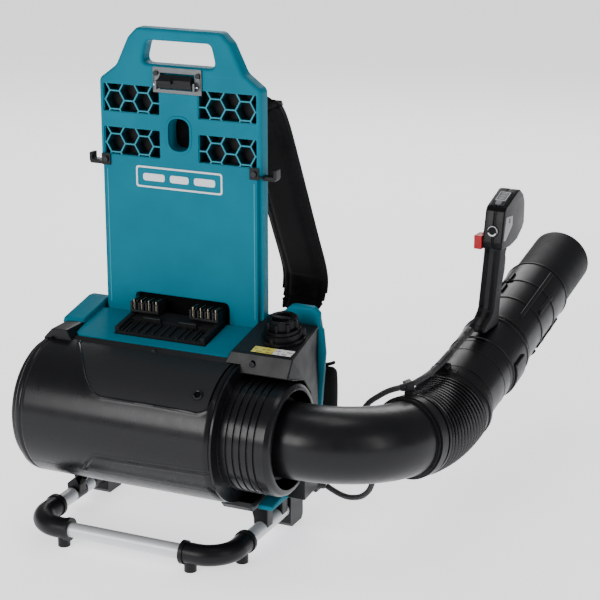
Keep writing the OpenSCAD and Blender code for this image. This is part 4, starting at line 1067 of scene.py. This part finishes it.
BACK_PAD = (-84, 84, 317, 503)
BELT_PATH = [(-172, 221, 161), (-170, 209, 161), (-158, 198, 161), (-140, 189.5, 162), (-112, 189, 164),
             (-60, 189.2, 165), (0, 189.2, 165), (60, 189.2, 165), (112, 189, 164), (140, 189.5, 162),
             (158, 198, 161), (170, 209, 161), (172, 221, 161)]
BELT_WING = [(113, 198.6, 163), (138, 198.2, 162), (151, 204.6, 161.5), (160, 213, 161), (162, 223, 161)]
CHEST_HALF = [(16, 257.2, 426.4), (24, 257.6, 426.2), (34, 257.3, 426.8), (46.5, 257.2, 427.2)]
STRAP_YZ = [(187, 519), (203, 509), (219, 489), (238, 456), (269, 398), (303, 334), (329, 286), (336, 262),
            (330, 240), (312, 226)]
WEB_YZ = [(311, 226), (290, 204), (262, 178), (236, 158), (214, 146), (205, 143.4)]
STRAP_TOP_YZ = [(178, 535), (184, 531), (190, 525), (196, 517)]
STRAP_X = 79
ACROSS = (1, 0, 0)


def make_back_pad():
    x0, x1, z0, z1 = BACK_PAD
    pad = plate("back_cushion", rectangle(x0 + 4, x1 - 4, z0 + 4, z1 - 4, 24), 179.0, 193.4, 4.5, MESH)
    puff(pad, 4.5, 5, (0, 2))
    sew(pad, lambda p: min(abs(abs(p.x) - 27), 99 if abs(p.x) > 27 else abs(abs(p.z - 410) - 34)), 3.6, 3.6)
    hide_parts("back_pad")
    edge = [(p[0], 179.4, p[1]) for p in rectangle(x0 + 1.8, x1 - 1.8, z0 + 1.8, z1 - 1.8, 25)]
    sweep("pad_binding", edge + edge[:2], ring(2.3, 10), BINDING, up=(0, 1, 0))
    for x in (-24.4, -29.6, 24.4, 29.6):
        stitches("pad_stitches", [(x, 191.6, 330), (x, 192.2, 410), (x, 191.6, 490)])
    plate("pad_tab", rectangle(-13, 13, 484, 512, 3), 176.3, 180, 1, WEBBING)


def make_belt():
    path = smooth_path(BELT_PATH, 6)

    def thickness(f):
        edge = min(f, 1 - f)
        return 1 + 0.38 * ease(edge * 3.4 - 0.35), 1 - 0.16 * (1 - ease(edge * 9))

    def seam(p):
        side = abs(p.x)
        return min(abs(side - 56), abs(side - 112), 99 if side > 56 else abs(p.z - 165))

    belt = sweep("belt_cushion", path, pad_section(14.5, 80), PADDING, scale=thickness)
    puff(belt, 5, 4, (2,))
    sew(belt, seam, 3.2, 3.6)
    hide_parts("hip_belt")
    for dz in (39, -39):
        edge = [p + Vector((0, 0, dz)) for p in path[3:-3]]
        sweep("belt_binding", edge, ring(2.2, 10), BINDING)
    for s in (-1, 1):
        wing = [Vector((s * x, y, z)) for x, y, z in BELT_WING]
        sweep("belt_web", smooth_path(wing, 5), band_section(1.8, 38), WEBBING)


def strap_point(points, x, lift):
    """Path along a strap, lifted off its middle towards the outer face."""
    flat = smooth_path([(x, y, z) for y, z in points], 6)
    out = []
    for i, p in enumerate(flat):
        along = (flat[min(i + 1, len(flat) - 1)] - flat[max(i - 1, 0)]).normalized()
        out.append(p - along.cross(Vector(ACROSS)) * lift)
    return out


def mirror_copy(obj, name):
    """The same piece on the other side of the machine."""
    mesh = obj.data.copy()
    mesh.transform(Matrix.Scale(-1, 4, ACROSS))
    mesh.flip_normals()
    return finish_mesh(name, mesh, obj.data.materials[0])


def make_straps():
    path = strap_point(STRAP_YZ, STRAP_X, 0)

    def thickness(f):
        edge = min(f, 1 - f)
        return 0.8 + 0.2 * ease(edge * 12), 0.93 + 0.07 * ease(edge * 14)

    def seam(p):
        nearest = min(range(len(path)), key=lambda i: (path[i].y - p.y) ** 2 + (path[i].z - p.z) ** 2)
        across = 0 if nearest in (5, len(path) - 6) else 99
        return min(abs(abs(p.x - STRAP_X) - 20.5), across)

    right = sweep("strap_cushion_right", path, pad_section(11.5, 60), PADDING, up=ACROSS, scale=thickness)
    puff(right, 4.5, 4, (0,))
    sew(right, seam, 2.4, 3.0)
    left = mirror_copy(right, "strap_cushion_left")
    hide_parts("shoulder_strap_right")
    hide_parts("shoulder_strap_left")
    for s in (-1, 1):
        for dx in (-29.6, 29.6):
            sweep("strap_binding", strap_point(STRAP_YZ, s * STRAP_X + dx, 0)[4:-8], ring(2.0, 10), BINDING,
                  up=ACROSS)
        sweep("strap_band", strap_point(STRAP_YZ[1:-1], s * STRAP_X, 8.3), band_section(1.7, 26), WEBBING,
              up=ACROSS)
        for dx in (-10.8, 10.8):
            stitches("strap_stitches", strap_point(STRAP_YZ[1:-1], s * STRAP_X + dx, 9.3))
        low = sweep("strap_web_low", strap_point(WEB_YZ, s * STRAP_X, 0), band_section(2.2, 25.6), WEBBING,
                    up=ACROSS)
        if s > 0:
            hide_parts("strap_webbing")
        sweep("strap_web_top", strap_point(STRAP_TOP_YZ, s * STRAP_X, 0), band_section(2.2, 29), WEBBING,
              up=ACROSS)


def make_chest_strap():
    """Sternum strap with its side-release buckle."""
    first = None
    for s in (-1, 1):
        run = [Vector((s * x, y, z)) for x, y, z in CHEST_HALF]
        piece = sweep("chest_band", smooth_path(run, 5), band_section(2.2, 17.5), WEBBING)
        first = first or piece
        plate("chest_slider", rectangle(s * 30, s * 39, 415, 439, 2.5), 254.6, 260, 0.9, BLACK,
              holes=[rectangle(s * 33.6, s * 35.4, 418, 436, 0.6)])
    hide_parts("chest_strap")
    plate("chest_buckle",
          fillet([(-16.6, 417, 3), (-16.6, 437, 3), (2, 439, 3), (4, 434, 2), (4, 420, 2), (2, 415, 3)], 5),
          252.4, 261.6, 1.6, BLACK)
    plate("chest_tongue",
          fillet([(3, 418.5, 2), (3, 435.5, 2), (12, 437, 3), (16.6, 434, 3), (16.6, 420, 3), (12, 417, 3)],
                 5), 254, 260, 1.2, MATT)


# ---------------- sticker and small trim

def cover_top(x, y, lift):
    """Point above the outlet cover's sloping top."""
    return x, y, 249 + (y - 72) * math.tan(DECK_TILT) + lift


COVER_LEFT, COVER_RIGHT = 103.4, 182.5
COVER_TAPER, CORNER_SLANT, LEFT_SLANT = 0.07, 0.35, 0.42


def make_outlet_cover():
    """Cover over the outlet side: sloping top, chamfered front, right side that tapers backwards."""
    outline = fillet([(76, 222, 1), (63.5, 227, 1.6), (73.5, 248.6, 2), (159, 264.4, 3), (159, 60, 3),
                      (112, 60, 3), (112, 84, 3), (132, 120, 10), (138, 160, 20), (132, 190, 10),
                      (110, 212, 10)], 5)
    cover = plate("outlet_housing", outline, COVER_LEFT, COVER_RIGHT, 1.5, BLACK, axis="x")
    for vertex in cover.data.vertices:
        x, y, z = vertex.co / MM
        if x > 150:
            taper = max(0.0, y - 66) * COVER_TAPER
            vertex.co.x -= (taper + max(0.0, 72 - y) * CORNER_SLANT) * MM
        elif y < 78:
            vertex.co.x -= max(0.0, 248 - z) * LEFT_SLANT * MM
    cut(cover, cutter_bore(67.6, 90, 200, DRUM_AXIS), cutter_bore(84.2, 90, 119, DRUM_AXIS),
        cutter_prism(rectangle(100, 107.2, 240, 300), 149.8, 170),
        cutter_bore(3.6, -8, 8, at(133.5, 68, 238.5), 24))
    soften(cover, 0.6, 2, 50)
    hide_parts("outlet_cover")


def make_trim():
    corners = [cover_top(x, y, 0.25) for x, y in ((127, 77.6), (177.4, 77.6), (177.4, 90.6), (127, 90.6))]
    prism("rating_sticker", corners, 0.2, LABEL)
    arrow = [cover_top(x, y, 4.35) for x, y in ((146.4, 92.6), (150.4, 97.6), (143.4, 97.6))]
    prism("cap_arrow", arrow, 0.4, WHITE)


# ---------------- looks of the pieces carried over

DRESS = {
    "stand_tube": (TUBE, 0), "stand_corner_covers": (BLACK, 1.4),
    "rear_feet": (BLACK, 2.4), "rear_cover": (MATT, 0.8), "deck": (TEAL, 1.3), "pack_seat": (MATT, 0.7),
    "terminal_blocks": (BLACK, 0.5), "terminal_blades": (BRASS, 0.12), "latch_plate": (STEEL, 0.4),
    "latch_lever": (BLACK, 0.6), "latch_pin": (BRIGHT, 0.2), "side_hooks": (BLACK, 0.9),
    "cover_screws": (DARK_STEEL, 0.3), "intake_ring": (BLACK, 0.8), "intake_grille": (MATT, 0.4),
    "fan_duct": (MATT, 0), "motor_stator": (COPPER, 0.3), "motor_bearings": (BRIGHT, 0.3),
    "motor_rotor": (CORE, 0.5), "fan_shaft": (BRIGHT, 0.4), "fan_impeller": (BLACK, 0.4),
    "controller_box": (ALLOY, 0.5), "connector_base": (GLOSS, 0.6),
    "connector_cap": (GLOSS, 0.7), "outlet_collar": (DRUM, 0.7), "outlet_socket": (MATT, 0.5),
    "outlet_seal": (SEAL, 0.3), "elbow_pipe": (PIPE, 0.4), "hose_lower_cuff": (BLACK, 0.9),
    "hose_upper_cuff": (BLACK, 0.9), "swivel_pipe": (PIPE, 0.7), "nozzle_sleeve": (PIPE, 0.6),
    "nozzle_tip": (MATT, 0.5), "handle_clamp": (BLACK, 0.9), "clamp_knob": (BLACK, 0.7),
    "throttle_trigger": (BLACK, 0.8), "trigger_pin": (BRIGHT, 0.2), "cruise_lever": (RED, 0.7),
    "power_button": (MATT, 0.4), "display_module": (GLASS, 0.3), "mode_button": (GREY, 0.4),
    "cable_gland": (RUBBER, 0.5), "strap_buckles": (BLACK, 0.7),
}


def dress_nodes():
    for name, (material, width) in DRESS.items():
        node = frame["nodes"][name]
        shade_mesh(node.data, material)
        if width:
            soften(node, width, 2)


make_tower()
make_seat()
make_drum()
make_hose()
make_handle()
make_sleeve_trim()
make_back_pad()
make_belt()
make_straps()
make_chest_strap()
make_outlet_cover()
make_trim()
dress_nodes()
